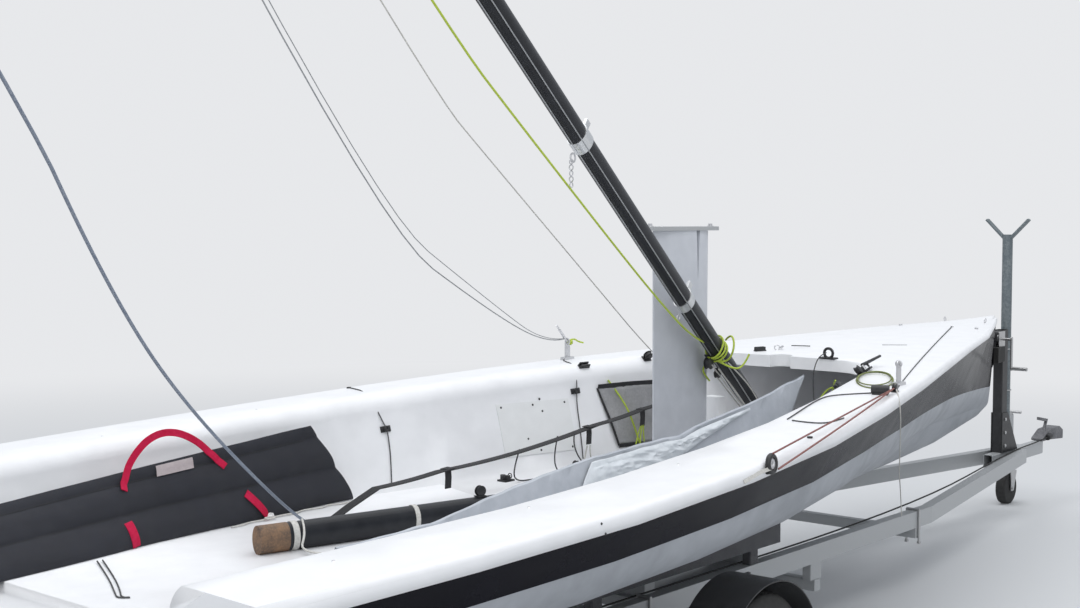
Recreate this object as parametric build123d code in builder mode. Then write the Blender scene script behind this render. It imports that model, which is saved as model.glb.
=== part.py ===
"""A sport keelboat parked on its road trailer, with the mast lowered aft.

Frame: +X forward, +Y to port, +Z up, ground at z = 0, millimetres.
"""
import os
from math import atan2, cos, degrees, pi, radians, sin, tan

from build123d import *

os.makedirs("parts", exist_ok=True)

# Boat: driving dimensions
HULL_L = 6430
TRANSOM_X = -2240
FLOOR_Z = 650
SKIN = 18
LIP_OUT = 6
DECK_CAMBER = 12
SIDE_DECK_W = 264
TANK_SLOPE = 90
ROLL_R = 90
ROLL_W = 60
FOREDECK_X = TRANSOM_X + 4030
GATE_W = 110
GATE_DEEP = 48
COCKPIT_CORNER_R = 170
STERN_WELL_L = 410
STERN_WELL_W = 1180
STERN_WELL_DEEP = 35

# Hull stations: distance from transom, half beam, sheer height, lip drop,
# height and inset of the knuckle, inset and height of the bilge, keel height
STATIONS = [
    (0, 1187, 953, 48, 800, 70, 230, 665, 545),
    (1200, 1247, 991, 48, 830, 75, 235, 680, 500),
    (2400, 1165, 1047, 46, 870, 78, 235, 700, 470),
    (3600, 905, 1108, 42, 905, 85, 240, 720, 462),
    (4800, 565, 1150, 32, 890, 95, 230, 735, 480),
    (5700, 310, 1175, 22, 850, 85, 170, 705, 545),
]
STEM_TOP = (HULL_L, 1198)
STEM_FOOT = (HULL_L - 90, 670)
STEM_HALF = 26
HULL_BAYS = 10
LAST_STATION = 6175

# Keel
KEEL_X = TRANSOM_X + 3215
KEEL_CHORD = 400
KEEL_THICK = 50
KEEL_TOP_Z = FLOOR_Z + 1077
SLOT_GAP = 8
TRUNK_W = 150
TRUNK_H = 180
POST_H = 345
BULB_R = 95
BULB_L = 1150
BULB_Z = 355

# Bowsprit, drawn in, on the port side of the stem
SPRIT_Y = 130
SPRIT_Z = FLOOR_Z + 435
SPRIT_R = 28
SPRIT_BORE_R = 34
SPRIT_FROM = TRANSOM_X + 4420
SPRIT_TIP = TRANSOM_X + 6230
SPRIT_EXIT = TRANSOM_X + 6110

# Mast: heel place, lean aft from upright and swing to starboard, degrees
MAST_HEEL = (TRANSOM_X + 4020, 0, FLOOR_Z + 62)
MAST_LEAN = 52.8
MAST_SWING = 6
MAST_L = 8800
MAST_FORE_AFT = 90
MAST_WIDE = 70
SPREADER_AT = 3900
HOUNDS_AT = 6500

# Trailer
AXLE_X = TRANSOM_X + 2250
WHEEL_R = 260
WHEEL_W = 150
WHEEL_Y = 960
RAIL_Y = 430
RAIL_H = 80
RAIL_W = 50
RAIL_Z = 300
RAIL_AFT_X = TRANSOM_X + 350
RAIL_BEND_X = TRANSOM_X + 4700
NOSE_X = TRANSOM_X + 7050
COUPLING_TIP_X = TRANSOM_X + 7480
POST_X = TRANSOM_X + 6560
JOCKEY_X = TRANSOM_X + 6960
JOCKEY_Y = 105
JOCKEY_R = 100
DRAWBAR_W = 58
SLIDE_GAP = 0.3
PIN_GAP = 0.3


def save(part, name):
    """Label a finished part and write its STEP file."""
    part.label = name
    export_step(part, f"parts/{name}.step")


def across(x):
    """Plane across the boat at x, with its own X to port and Y up."""
    return Plane(origin=(x, 0, 0), x_dir=(0, 1, 0), z_dir=(1, 0, 0))


def station(distance):
    """Hull values at a distance from the transom, on smooth curves."""
    rows = STATIONS + [(STEM_TOP[0], STEM_HALF, STEM_TOP[1], 12, 800, 2, 6, 700, 670)]
    last = len(rows) - 2
    at = next((i for i in range(last) if distance <= rows[i + 1][0]), last)
    a, b = rows[at], rows[at + 1]
    before = rows[max(at - 1, 0)]
    after = rows[min(at + 2, last + 1)]
    step = b[0] - a[0]
    t = (distance - a[0]) / step
    values = [distance]
    for k in range(1, len(a)):
        slope_a = (b[k] - before[k]) / (b[0] - before[0]) * step
        slope_b = (after[k] - a[k]) / (after[0] - a[0]) * step
        values.append(
            (2 * t**3 - 3 * t**2 + 1) * a[k]
            + (t**3 - 2 * t**2 + t) * slope_a
            + (3 * t**2 - 2 * t**3) * b[k]
            + (t**3 - t**2) * slope_b
        )
    return values


def hull_outline(row):
    """Closed outer section of the hull, below the deck lip."""
    _, beam, sheer, lip, knuckle_z, knuckle_in, bilge_in, bilge_z, keel_z = row
    knuckle = (beam - knuckle_in, knuckle_z)
    bilge = (beam - bilge_in, bilge_z)
    low = (bilge[0] * 0.5, keel_z + (bilge_z - keel_z) * 0.27)
    turn = (
        (knuckle[0] + bilge[0]) / 2 + 0.10 * (bilge_in - knuckle_in),
        (knuckle_z + bilge_z) / 2 - 0.16 * (bilge_in - knuckle_in),
    )
    rail = (beam, sheer - lip)
    ThreePointArc((0, keel_z), low, bilge)
    ThreePointArc(bilge, turn, knuckle)
    Line(knuckle, rail)
    Line(rail, (-rail[0], rail[1]))
    Line((-rail[0], rail[1]), (-knuckle[0], knuckle[1]))
    ThreePointArc((-knuckle[0], knuckle[1]), (-turn[0], turn[1]), (-bilge[0], bilge[1]))
    ThreePointArc((-bilge[0], bilge[1]), (-low[0], low[1]), (0, keel_z))


def deck_outline(row):
    """Closed section of the deck moulding, with its lip over the hull."""
    _, beam, sheer, lip, knuckle_z, knuckle_in, bilge_in, bilge_z, keel_z = row
    skin = min(SKIN, beam * 0.4)
    knuckle = (beam - knuckle_in - skin, knuckle_z)
    bilge = (max(beam - bilge_in - skin * 0.6, 4), bilge_z + skin)
    low = (bilge[0] * 0.5, keel_z + skin + (bilge_z - keel_z) * 0.27)
    turn = (
        (knuckle[0] + bilge[0]) / 2 + 0.10 * (bilge_in - knuckle_in),
        (knuckle_z + bilge_z + skin) / 2 - 0.16 * (bilge_in - knuckle_in),
    )
    rail = (beam - skin, sheer - lip)
    edge = (beam + LIP_OUT, sheer - lip)
    side = (beam + LIP_OUT - 2, sheer - lip * 0.45)
    top = (beam - skin, sheer)
    shoulder = (beam - 0.25 * skin + 1, sheer - lip * 0.1)
    crown = (0, sheer + DECK_CAMBER)
    quarter = (beam * 0.5, sheer + DECK_CAMBER * 0.75)
    right = [
        ("arc", (0, keel_z + skin), low, bilge),
        ("arc", bilge, turn, knuckle),
        ("line", knuckle, rail),
        ("line", rail, edge),
        ("line", edge, side),
        ("arc", side, shoulder, top),
        ("arc", top, quarter, crown),
    ]
    for kind, *points in right:
        draw(kind, points)
    for kind, *points in reversed(right):
        draw(kind, [(-p[0], p[1]) for p in reversed(points)])


def draw(kind, points):
    """Draw one line or one arc of an outline."""
    if kind == "arc":
        ThreePointArc(*points)
    else:
        Line(*points)


def stem_plane():
    """Raked plane of the stem, with its own Y up the stem."""
    rake = atan2(STEM_TOP[0] - STEM_FOOT[0], STEM_TOP[1] - STEM_FOOT[1])
    origin = (TRANSOM_X + STEM_FOOT[0], 0, STEM_FOOT[1])
    return Plane(origin=origin, x_dir=(0, 1, 0), z_dir=(cos(rake), 0, -sin(rake)))


def stem_row():
    """Section values of the stem, in its own raked plane."""
    tall = ((STEM_TOP[0] - STEM_FOOT[0]) ** 2 + (STEM_TOP[1] - STEM_FOOT[1]) ** 2) ** 0.5
    return (0, STEM_HALF, tall, 12, tall * 0.3, 2, 6, tall * 0.08, 0)


def sections(outline):
    """Faces of an outline at even bays along the hull and at the stem."""
    faces = []
    for bay in range(HULL_BAYS + 1):
        distance = LAST_STATION * bay / HULL_BAYS
        with BuildSketch(across(TRANSOM_X + distance)) as cut:
            with BuildLine():
                outline(station(distance))
            make_face()
        faces.append(cut.sketch)
    with BuildSketch(stem_plane()) as cut:
        with BuildLine():
            outline(stem_row())
        make_face()
    return faces + [cut.sketch]


# Hull shell
with BuildPart() as hull:
    loft(sections(hull_outline), ruled=True)
with BuildPart() as deck_fill:
    loft(sections(deck_outline), ruled=True)
with BuildPart() as hull_shell:
    add(hull.part)
    add(deck_fill.part, mode=Mode.SUBTRACT)
    with BuildSketch(Plane.XY.offset(300)):
        with Locations((KEEL_X, 0)):
            SlotOverall(KEEL_CHORD + 2 * SLOT_GAP, KEEL_THICK + 2 * SLOT_GAP)
    extrude(amount=FLOOR_Z - 300, mode=Mode.SUBTRACT)
    with BuildSketch(Plane.YZ.offset(TRANSOM_X + 4300)):
        with Locations((SPRIT_Y, SPRIT_Z)):
            Circle(SPRIT_BORE_R)
    extrude(amount=2200, mode=Mode.SUBTRACT)
save(hull_shell.part, "hull")


def tank_foot(distance):
    """Half width of the cockpit floor, rounded in at its fore corners."""
    beam = station(distance)[1]
    into = max(distance - (FOREDECK_X - TRANSOM_X - COCKPIT_CORNER_R), 0)
    corner = COCKPIT_CORNER_R - (COCKPIT_CORNER_R**2 - into**2) ** 0.5
    return beam - SIDE_DECK_W - TANK_SLOPE - ROLL_W - corner


def cockpit_outline(distance):
    """Section of the cockpit: flat floor, sloped tank faces, rolled tops."""
    sheer = station(distance)[2]
    foot = tank_foot(distance)
    face = foot + TANK_SLOPE
    roll_z = sheer + DECK_CAMBER - ROLL_R
    roll_mid = (face + ROLL_R * (1 - cos(pi / 4)), roll_z + ROLL_R * sin(pi / 4))
    roll_end = (face + ROLL_R, roll_z + ROLL_R + 2)
    high = sheer + 400
    right = [
        ("line", (foot, FLOOR_Z), (face, roll_z)),
        ("arc", (face, roll_z), roll_mid, roll_end),
        ("line", roll_end, (roll_end[0], high)),
    ]
    Line((-foot, FLOOR_Z), (foot, FLOOR_Z))
    for kind, *points in right:
        draw(kind, points)
    Line((roll_end[0], high), (-roll_end[0], high))
    for kind, *points in reversed(right):
        draw(kind, [(-p[0], p[1]) for p in reversed(points)])


# Deck moulding: tanks, floor and foredeck, with the cockpit and cuddy open
COCKPIT_END = FOREDECK_X - TRANSOM_X
CORNER_STEPS = [COCKPIT_END - COCKPIT_CORNER_R * (1 - sin(radians(turn))) for turn in (0, 22, 45, 67, 90)]
COCKPIT_AT = [-30, 500, 1000, 1500, 2000, 2500, 3000, 3500] + CORNER_STEPS
CUDDY = [(3980, 330, 440), (4500, 250, 330), (5050, 120, 190)]
with BuildPart() as cockpit_space:
    for distance in COCKPIT_AT:
        with BuildSketch(across(TRANSOM_X + distance)):
            with BuildLine():
                cockpit_outline(max(distance, 0))
            make_face()
    loft(ruled=True)
with BuildPart() as cuddy_space:
    for distance, low_half, high_half in CUDDY:
        sheer = station(distance)[2]
        with BuildSketch(across(TRANSOM_X + distance)):
            with BuildLine():
                Polyline(
                    (-low_half, FLOOR_Z),
                    (low_half, FLOOR_Z),
                    (high_half, sheer - 45),
                    (-high_half, sheer - 45),
                    close=True,
                )
            make_face()
    loft(ruled=True)

with BuildPart() as deck_moulding:
    add(deck_fill.part)
    add(cockpit_space.part, mode=Mode.SUBTRACT)
    add(cuddy_space.part, mode=Mode.SUBTRACT)
    with BuildSketch(Plane.XY.offset(FLOOR_Z - STERN_WELL_DEEP)):
        with Locations((TRANSOM_X, 0)):
            Rectangle(2 * STERN_WELL_L, STERN_WELL_W)
    extrude(amount=STERN_WELL_DEEP, mode=Mode.SUBTRACT)
    with BuildSketch(Plane.XY.offset(FLOOR_Z + 250)):
        with Locations((FOREDECK_X, 0)):
            SlotOverall(2 * GATE_DEEP + 20, GATE_W)
    extrude(amount=400, mode=Mode.SUBTRACT)
    with BuildSketch(Plane.XY.offset(400)):
        with Locations((KEEL_X, 0)):
            SlotOverall(KEEL_CHORD + 2 * SLOT_GAP, KEEL_THICK + 2 * SLOT_GAP)
    extrude(amount=400, mode=Mode.SUBTRACT)
    with BuildSketch(Plane.YZ.offset(TRANSOM_X + 4300)):
        with Locations((SPRIT_Y, SPRIT_Z)):
            Circle(SPRIT_BORE_R)
    extrude(amount=2200, mode=Mode.SUBTRACT)
save(deck_moulding.part, "deck_moulding")

# Keel trunk: case over the slot, with a taller post at its fore end
TRUNK_L = KEEL_CHORD + 120
with BuildPart() as keel_trunk:
    with BuildSketch(Plane.XY.offset(FLOOR_Z)):
        with Locations((KEEL_X, 0)):
            RectangleRounded(TRUNK_L, TRUNK_W, 40)
    extrude(amount=TRUNK_H, taper=3)
    with BuildSketch(Plane.XY.offset(FLOOR_Z)):
        with Locations((KEEL_X + TRUNK_L / 2 + 5, 0)):
            RectangleRounded(90, 100, 25)
    extrude(amount=POST_H, taper=2)
    with BuildSketch(Plane.XY.offset(FLOOR_Z - 10)):
        with Locations((KEEL_X, 0)):
            SlotOverall(KEEL_CHORD + 2 * SLOT_GAP, KEEL_THICK + 2 * SLOT_GAP)
    extrude(amount=POST_H + 20, mode=Mode.SUBTRACT)
save(keel_trunk.part, "keel_trunk")


def foil(chord, thick):
    """Foil section along X, leading edge forward, blunt trailing edge."""
    tail = -chord * 0.5
    widest = chord * 0.15
    between = (tail + widest) / 2
    full = thick / 2 - (thick / 2 - 3) * 0.25
    EllipticalCenterArc((widest, 0), chord * 0.35, thick / 2, -90, arc_size=180)
    ThreePointArc((widest, thick / 2), (between, full), (tail, 3))
    Line((tail, 3), (tail, -3))
    ThreePointArc((tail, -3), (between, -full), (widest, -thick / 2))


# Keel bulb, fin seated on it with its hoist slot, and head bar
with BuildPart() as keel_bulb:
    with BuildSketch(Plane.XZ):
        with BuildLine():
            widest = KEEL_X + BULB_L * 0.16
            tail = KEEL_X - BULB_L * 0.48
            nose = BULB_L * 0.36
            turns = [radians(angle) for angle in (0, 15, 30, 60, 90)]
            tip, low, join, high, crown = (
                (widest + nose * cos(turn), BULB_Z + BULB_R * sin(turn)) for turn in turns
            )
            ThreePointArc(tip, low, join)
            ThreePointArc(join, high, crown)
            ThreePointArc(
                (widest, BULB_Z + BULB_R),
                ((widest + tail) / 2, BULB_Z + BULB_R * 0.76),
                (tail, BULB_Z + 5),
            )
            Line((tail, BULB_Z + 5), (tail, BULB_Z))
            Line((tail, BULB_Z), tip)
        make_face()
    revolve(axis=Axis((KEEL_X, 0, BULB_Z), (1, 0, 0)))
save(keel_bulb.part, "keel_bulb")

FIN_FOOT_Z = BULB_Z + 40
with BuildPart() as keel_fin:
    with BuildSketch(Plane((KEEL_X, 0, FIN_FOOT_Z))):
        with BuildLine():
            foil(KEEL_CHORD - 12, KEEL_THICK - 6)
        make_face()
    with BuildSketch(Plane((KEEL_X, 0, KEEL_TOP_Z))):
        with BuildLine():
            foil(KEEL_CHORD, KEEL_THICK)
        make_face()
    loft(ruled=True)
    with BuildSketch(Plane.XZ.offset(-60)):
        with Locations((KEEL_X + 95, KEEL_TOP_Z)):
            Trapezoid(52, 420, 86.5, rotation=180)
    extrude(amount=120, mode=Mode.SUBTRACT)
    add(keel_bulb.part, mode=Mode.SUBTRACT)
save(keel_fin.part, "keel_fin")

with BuildPart() as keel_head_bar:
    with BuildSketch(Plane.XY.offset(KEEL_TOP_Z)):
        with Locations((KEEL_X, 0)):
            RectangleRounded(KEEL_CHORD + 110, 60, 14)
        with Locations((KEEL_X - 222, 0), (KEEL_X + 222, 0)):
            Circle(9, mode=Mode.SUBTRACT)
    extrude(amount=18)
    fillet(keel_head_bar.edges().group_by(Axis.Z)[-1], 3)
save(keel_head_bar.part, "keel_head_bar")


# Mast step on the cockpit floor, with two cheeks for the heel pin
LEAN = radians(MAST_LEAN)
SWING = radians(MAST_SWING)
MAST_DIR = (-sin(LEAN) * cos(SWING), -sin(SWING), cos(LEAN) * cos(SWING))
FLAT = (MAST_DIR[0] ** 2 + MAST_DIR[1] ** 2) ** 0.5
HINGE_DIR = (-MAST_DIR[1] / FLAT, MAST_DIR[0] / FLAT, 0)
MAST_PLANE = Plane(origin=MAST_HEEL, x_dir=HINGE_DIR, z_dir=MAST_DIR)
STEP_PLANE = Plane(
    origin=(MAST_HEEL[0], MAST_HEEL[1], FLOOR_Z),
    x_dir=(-HINGE_DIR[1], HINGE_DIR[0], 0),
    z_dir=(0, 0, 1),
)
HINGE_PLANE = Plane(origin=MAST_HEEL, x_dir=(0, 0, 1), z_dir=HINGE_DIR)
CHEEK_IN = 46
with BuildPart() as mast_step:
    with BuildSketch(STEP_PLANE):
        RectangleRounded(170, 150, 12)
    extrude(amount=12)
    for side in (-1, 1):
        with BuildSketch(STEP_PLANE.offset(12)):
            with Locations((0, side * (CHEEK_IN + 4))):
                Rectangle(96, 8)
        extrude(amount=78)
    fillet(mast_step.edges().group_by(Axis.Z)[-1], 3)
    with BuildSketch(HINGE_PLANE.offset(-80)):
        Circle(8.5)
    extrude(amount=160, mode=Mode.SUBTRACT)
save(mast_step.part, "mast_step")


def oval(half_wide, half_deep):
    """Closed oval of four arcs that meet smoothly."""
    x, y = half_wide * 24 / 35, half_deep * 33 / 45
    ThreePointArc((x, -y), (half_wide, 0), (x, y))
    ThreePointArc((x, y), (0, half_deep), (-x, y))
    ThreePointArc((-x, y), (-half_wide, 0), (-x, -y))
    ThreePointArc((-x, -y), (0, -half_deep), (x, -y))


def oval_face(plane, half_wide, half_deep):
    """Face of an oval on a plane."""
    with BuildSketch(plane) as cut:
        with BuildLine():
            oval(half_wide, half_deep)
        make_face()
    return cut.sketch


def mast_oval(along, scale=1.0):
    """Oval mast section at a distance from the heel."""
    plane = MAST_PLANE.offset(along)
    return oval_face(plane, MAST_WIDE / 2 * scale, MAST_FORE_AFT / 2 * scale)


# Mast: heel fitting with its pin, tube with a tapered top, collars
with BuildPart() as mast_heel:
    with BuildSketch(HINGE_PLANE.offset(-36)):
        Circle(30)
    extrude(amount=72)
    extrude(mast_oval(20, 0.92), amount=50)
    with BuildSketch(HINGE_PLANE.offset(-62)):
        Circle(8)
    extrude(amount=124)
save(mast_heel.part, "mast_heel")

TAPER_AT = 6900
with BuildPart() as mast_tube:
    extrude(mast_oval(70), amount=TAPER_AT - 70)
    loft([mast_oval(TAPER_AT), mast_oval(MAST_L, 0.64)])
    # sail groove along the aft face
    groove = Plane(
        origin=MAST_HEEL, x_dir=MAST_PLANE.x_dir, z_dir=MAST_DIR
    ).offset(1250)
    with BuildSketch(groove):
        with Locations((0, MAST_FORE_AFT / 2)):
            Rectangle(6, 12)
    extrude(amount=TAPER_AT - 1400, mode=Mode.SUBTRACT)
save(mast_tube.part, "mast_tube")

COLLARS = ((1190, 1235), (2215, 2275))
with BuildPart() as mast_collars:
    for near, far in COLLARS:
        extrude(mast_oval(near, 1.10), amount=far - near)
        with BuildSketch(MAST_PLANE.offset((near + far) / 2)):
            with Locations((0, MAST_FORE_AFT / 2 + 22)):
                RectangleRounded(12, 44, 3)
        extrude(amount=14, both=True)
    add(mast_tube.part, mode=Mode.SUBTRACT)
save(mast_collars.part, "mast_collars")

SPREADER_L = 620
with BuildPart() as spreaders:
    extrude(mast_oval(SPREADER_AT - 30, 1.18), amount=60)
    for side in (-1, 1):
        root = MAST_PLANE.offset(SPREADER_AT).from_local_coords((side * 30, 10, 0))
        tip = MAST_PLANE.offset(SPREADER_AT + 40).from_local_coords(
            (side * SPREADER_L, 150, 0)
        )
        blade = Plane(origin=root, x_dir=MAST_DIR, z_dir=tip - root)
        reach = (tip - root).length
        loft([oval_face(blade, 9, 24), oval_face(blade.offset(reach), 6, 15)], ruled=True)
    add(mast_tube.part, mode=Mode.SUBTRACT)
save(spreaders.part, "spreaders")

with BuildPart() as masthead_crane:
    with BuildSketch(MAST_PLANE.offset(MAST_L)):
        with Locations((0, 30)):
            RectangleRounded(34, 120, 8)
    extrude(amount=16)
    with BuildSketch(MAST_PLANE.offset(MAST_L - 26)):
        with Locations((0, 74)):
            RectangleRounded(20, 26, 4)
    extrude(amount=30)
save(masthead_crane.part, "masthead_crane")


def at_mast(side, aft, along):
    """Point beside the mast: to port, aft of its axis, along from the heel."""
    return MAST_PLANE.from_local_coords((-side, aft, along))


def rod(start, end, radius):
    """Straight round bar from start to end, as a cylinder along their line."""
    run = Vector(*end) - Vector(*start)
    with BuildSketch(Plane(origin=start, z_dir=run)) as cut:
        Circle(radius)
    return extrude(cut.sketch, amount=run.length, mode=Mode.PRIVATE)


# Starboard shroud and forestay lashed along the mast
STAY_R = 2.5
LASH_FROM = 420


def beside_mast(turn, along):
    """Centre of a wire that lies against the mast, at an angle round its oval."""
    side, aft = MAST_WIDE / 2 * cos(turn), MAST_FORE_AFT / 2 * sin(turn)
    out = Vector(cos(turn) / MAST_WIDE, sin(turn) / MAST_FORE_AFT, 0).normalized()
    return at_mast(side + STAY_R * out.X, aft + STAY_R * out.Y, along)


with BuildPart() as lashed_stays:
    for turn in (radians(-90), radians(-145)):
        add(rod(beside_mast(turn, LASH_FROM), beside_mast(turn, HOUNDS_AT), STAY_R))
    add(mast_tube.part, mode=Mode.SUBTRACT)
    add(mast_collars.part, mode=Mode.SUBTRACT)
    add(spreaders.part, mode=Mode.SUBTRACT)
save(lashed_stays.part, "lashed_stays")

# Chainplates and the port shroud to the lowered mast
CHAIN_AT = 3510
CHAIN_BEAM = station(CHAIN_AT)[1]
CHAIN_Z = station(CHAIN_AT)[2]
for side, name in ((1, "chainplate_port"), (-1, "chainplate_starboard")):
    with BuildPart() as chainplate:
        with BuildSketch(Plane.XZ.offset(-side * (CHAIN_BEAM - 60) - 3)):
            with Locations((TRANSOM_X + CHAIN_AT, CHAIN_Z + 45)):
                SlotOverall(110, 34, rotation=90)
            with Locations((TRANSOM_X + CHAIN_AT, CHAIN_Z + 82)):
                Circle(6, mode=Mode.SUBTRACT)
        extrude(amount=6)
        with BuildSketch(Plane.XY.offset(CHAIN_Z - 2)):
            with Locations((TRANSOM_X + CHAIN_AT, side * (CHAIN_BEAM - 60))):
                RectangleRounded(74, 34, 8)
        extrude(amount=14)
        add(deck_fill.part, mode=Mode.SUBTRACT)
    save(chainplate.part, name)
SHROUD_FOOT = (TRANSOM_X + CHAIN_AT - 4, CHAIN_BEAM - 60, CHAIN_Z + 102)
with BuildPart() as shroud_port:
    add(rod(SHROUD_FOOT, at_mast(MAST_WIDE / 2 + 8, 0, HOUNDS_AT), STAY_R))
save(shroud_port.part, "shroud_port")

# Toe straps, from the floor up towards the foredeck
STRAP_Y = 448
STRAP_W = 44
STRAP_T = 6
STRAP_LINE = [(1600, 6.3), (1850, 110), (2670, 150), (3200, 210), (3840, 280)]
with BuildPart() as toe_straps:
    for y in (STRAP_Y, -STRAP_Y):
        with BuildSketch(Plane.XZ.offset(-y - STRAP_W / 2)):
            with BuildLine():
                upper = [(TRANSOM_X + x, FLOOR_Z + z) for x, z in STRAP_LINE]
                lower = [(x, z - STRAP_T) for x, z in reversed(upper)]
                Polyline(*upper, *lower, close=True)
            make_face()
        extrude(amount=STRAP_W)
save(toe_straps.part, "toe_straps")

# Mesh pockets on the tank faces
POCKET_AT = (3430, 3830)


def pocket_face(distance, side):
    """Section of a mesh pocket, thicker at its open top."""
    sheer = station(distance)[2]
    foot = tank_foot(distance)
    slope = TANK_SLOPE / (sheer + DECK_CAMBER - ROLL_R - FLOOR_Z)
    low_y = foot + slope * POCKET_LOW
    high_y = foot + slope * POCKET_HIGH
    with BuildSketch(across(TRANSOM_X + distance)) as cut:
        with BuildLine():
            Polyline(
                (side * (low_y + 12), FLOOR_Z + POCKET_LOW),
                (side * (high_y + 12), FLOOR_Z + POCKET_HIGH),
                (side * (high_y - 26), FLOOR_Z + POCKET_HIGH),
                (side * (low_y - 8), FLOOR_Z + POCKET_LOW),
                close=True,
            )
        make_face()
    return cut.sketch


POCKET_LOW = 40
POCKET_HIGH = 330
with BuildPart() as mesh_pockets:
    for side in (1, -1):
        loft([pocket_face(distance, side) for distance in POCKET_AT], ruled=True)
    add(deck_moulding.part, mode=Mode.SUBTRACT)
save(mesh_pockets.part, "mesh_pockets")

# Mainsheet swivel base on the floor, aft of the trunk
SHEET_X = TRANSOM_X + 2780
with BuildPart() as mainsheet_base:
    with BuildSketch(Plane.XY.offset(FLOOR_Z)):
        with Locations((SHEET_X, 0)):
            Circle(42)
    extrude(amount=10)
    with BuildSketch(Plane.XY.offset(FLOOR_Z + 10)):
        with Locations((SHEET_X, 0)):
            Circle(22)
    extrude(amount=46)
    with BuildSketch(Plane.XY.offset(FLOOR_Z + 40)):
        with Locations((SHEET_X - 60, 0)):
            RectangleRounded(110, 34, 8)
    extrude(amount=10)
    with BuildSketch(Plane.XY.offset(FLOOR_Z + 50)):
        with Locations((SHEET_X - 92, 15), (SHEET_X - 92, -15)):
            Circle(12)
    extrude(amount=20)
save(mainsheet_base.part, "mainsheet_base")

# Boom lying on the cockpit floor, placed by its end beside the keel trunk
BOOM_L = 2750
BOOM_YAW = 13
BOOM_FORE = (TRANSOM_X + 3834.518, -346.615, FLOOR_Z + 48.3)
BOOM_AFT = (
    BOOM_FORE[0] - BOOM_L * cos(radians(BOOM_YAW)),
    BOOM_FORE[1] + BOOM_L * sin(radians(BOOM_YAW)),
    BOOM_FORE[2],
)
BOOM_RUN = Vector(*BOOM_FORE) - Vector(*BOOM_AFT)
with BuildPart() as boom:
    boom_end = Plane(origin=BOOM_AFT, x_dir=(0, 0, 1), z_dir=BOOM_RUN)
    extrude(oval_face(boom_end, 48, 36), amount=BOOM_L)
save(boom.part, "boom")


# Sail bag that leans on the port tank: distance, front foot, top edge y and z
BAG_ROWS = [
    (60, 530, 770, 160), (515, 590, 780, 202), (1085, 690, 780, 257),
    (1790, 757, 782, 315), (1975, 765, 780, 24),
]
BAG_BULGE = 22
SOFT_GAP = 0.3
with BuildPart() as sail_bag:
    for distance, front_y, top_y, top_z in BAG_ROWS:
        foot = FLOOR_Z + SOFT_GAP
        back_y = min(front_y + 130, tank_foot(distance) - 6)
        bulge = BAG_BULGE * top_z / BAG_ROWS[-2][3]
        with BuildSketch(across(TRANSOM_X + distance)):
            with BuildLine():
                Polyline(
                    (front_y, foot), (front_y - bulge / 2, foot + top_z * 0.15),
                    (front_y + (top_y - front_y) * 0.4 - bulge, foot + top_z * 0.55),
                    (top_y - 30, foot + top_z * 0.96), (top_y - 8, foot + top_z),
                    (top_y + 6, foot + top_z * 0.95), (back_y, foot),
                    close=True,
                )
            make_face()
    loft(ruled=True)
save(sail_bag.part, "sail_bag")

# Laminate sail folded along the starboard side: distance, ridge y and z, spread
SAIL_ROWS = [
    (650, -690, 255, 170),
    (1030, -667, 258, 170),
    (1860, -615, 344, 170),
    (2200, -590, 347, 165),
    (2340, -576, 318, 160),
    (2640, -546, 357, 145),
    (3440, -466, 474, 110),
]
with BuildPart() as laminate_sail:
    for x, top_y, top_z, spread in SAIL_ROWS:
        with BuildSketch(across(TRANSOM_X + x)):
            with BuildLine():
                foot = FLOOR_Z + 0.3
                Polyline(
                    (top_y + spread * 0.62, foot), (top_y + spread * 0.62, foot + 40),
                    (top_y + 12, FLOOR_Z + top_z), (top_y - 12, FLOOR_Z + top_z),
                    (top_y - spread * 0.5, foot + 40), (top_y - spread * 0.5, foot),
                    close=True,
                )
            make_face()
    loft(ruled=True)
    # The folds lie over the starboard toe strap
    add(toe_straps.part, mode=Mode.SUBTRACT)
save(laminate_sail.part, "laminate_sail")

# Rudder: bracket on the open transom, head box, raised blade, tiller
PINTLE_X = TRANSOM_X - 62
GUDGEON_Z = (600, 850)
PINTLE_R = 7
with BuildPart() as rudder_gudgeons:
    with BuildSketch(Plane.YZ.offset(TRANSOM_X - 6)):
        with Locations((0, 718)):
            RectangleRounded(110, 320, 10)
    extrude(amount=6)
    for z in GUDGEON_Z:
        with BuildSketch(Plane.XY.offset(z)):
            with Locations((TRANSOM_X - 45, 0)):
                RectangleRounded(78, 44, 8)
            with Locations((PINTLE_X, 0)):
                Circle(PINTLE_R + PIN_GAP, mode=Mode.SUBTRACT)
        extrude(amount=14)
save(rudder_gudgeons.part, "rudder_gudgeons")

RUDDER_X = PINTLE_X - 105
TILLER_PIN_Z = 1095
with BuildPart() as rudder_head:
    with BuildSketch(Plane.XY.offset(560)):
        with Locations((RUDDER_X, 0)):
            RectangleRounded(150, 62, 16)
            Rectangle(106, 44, mode=Mode.SUBTRACT)
    extrude(amount=500)
    for z in GUDGEON_Z:
        for lift in (-26, 14 + PIN_GAP):
            with BuildSketch(Plane.XY.offset(z + lift)):
                with Locations((PINTLE_X - 14, 0)):
                    RectangleRounded(62, 30, 6)
            extrude(amount=20)
    with BuildSketch(Plane.XY.offset(565)):
        with Locations((PINTLE_X, 0)):
            Circle(PINTLE_R)
    extrude(amount=345)
    with BuildSketch(Plane.XZ.offset(-31)):
        with Locations((RUDDER_X, 990)):
            Circle(7)
    extrude(amount=62)
    for side in (-1, 1):
        with BuildSketch(Plane.XZ.offset(side * 26 - 4)):
            with Locations((RUDDER_X + 20, 1080)):
                RectangleRounded(100, 90, 20)
            with Locations((RUDDER_X + 20, TILLER_PIN_Z)):
                Circle(8.5, mode=Mode.SUBTRACT)
        extrude(amount=8)
save(rudder_head.part, "rudder_head")

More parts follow.
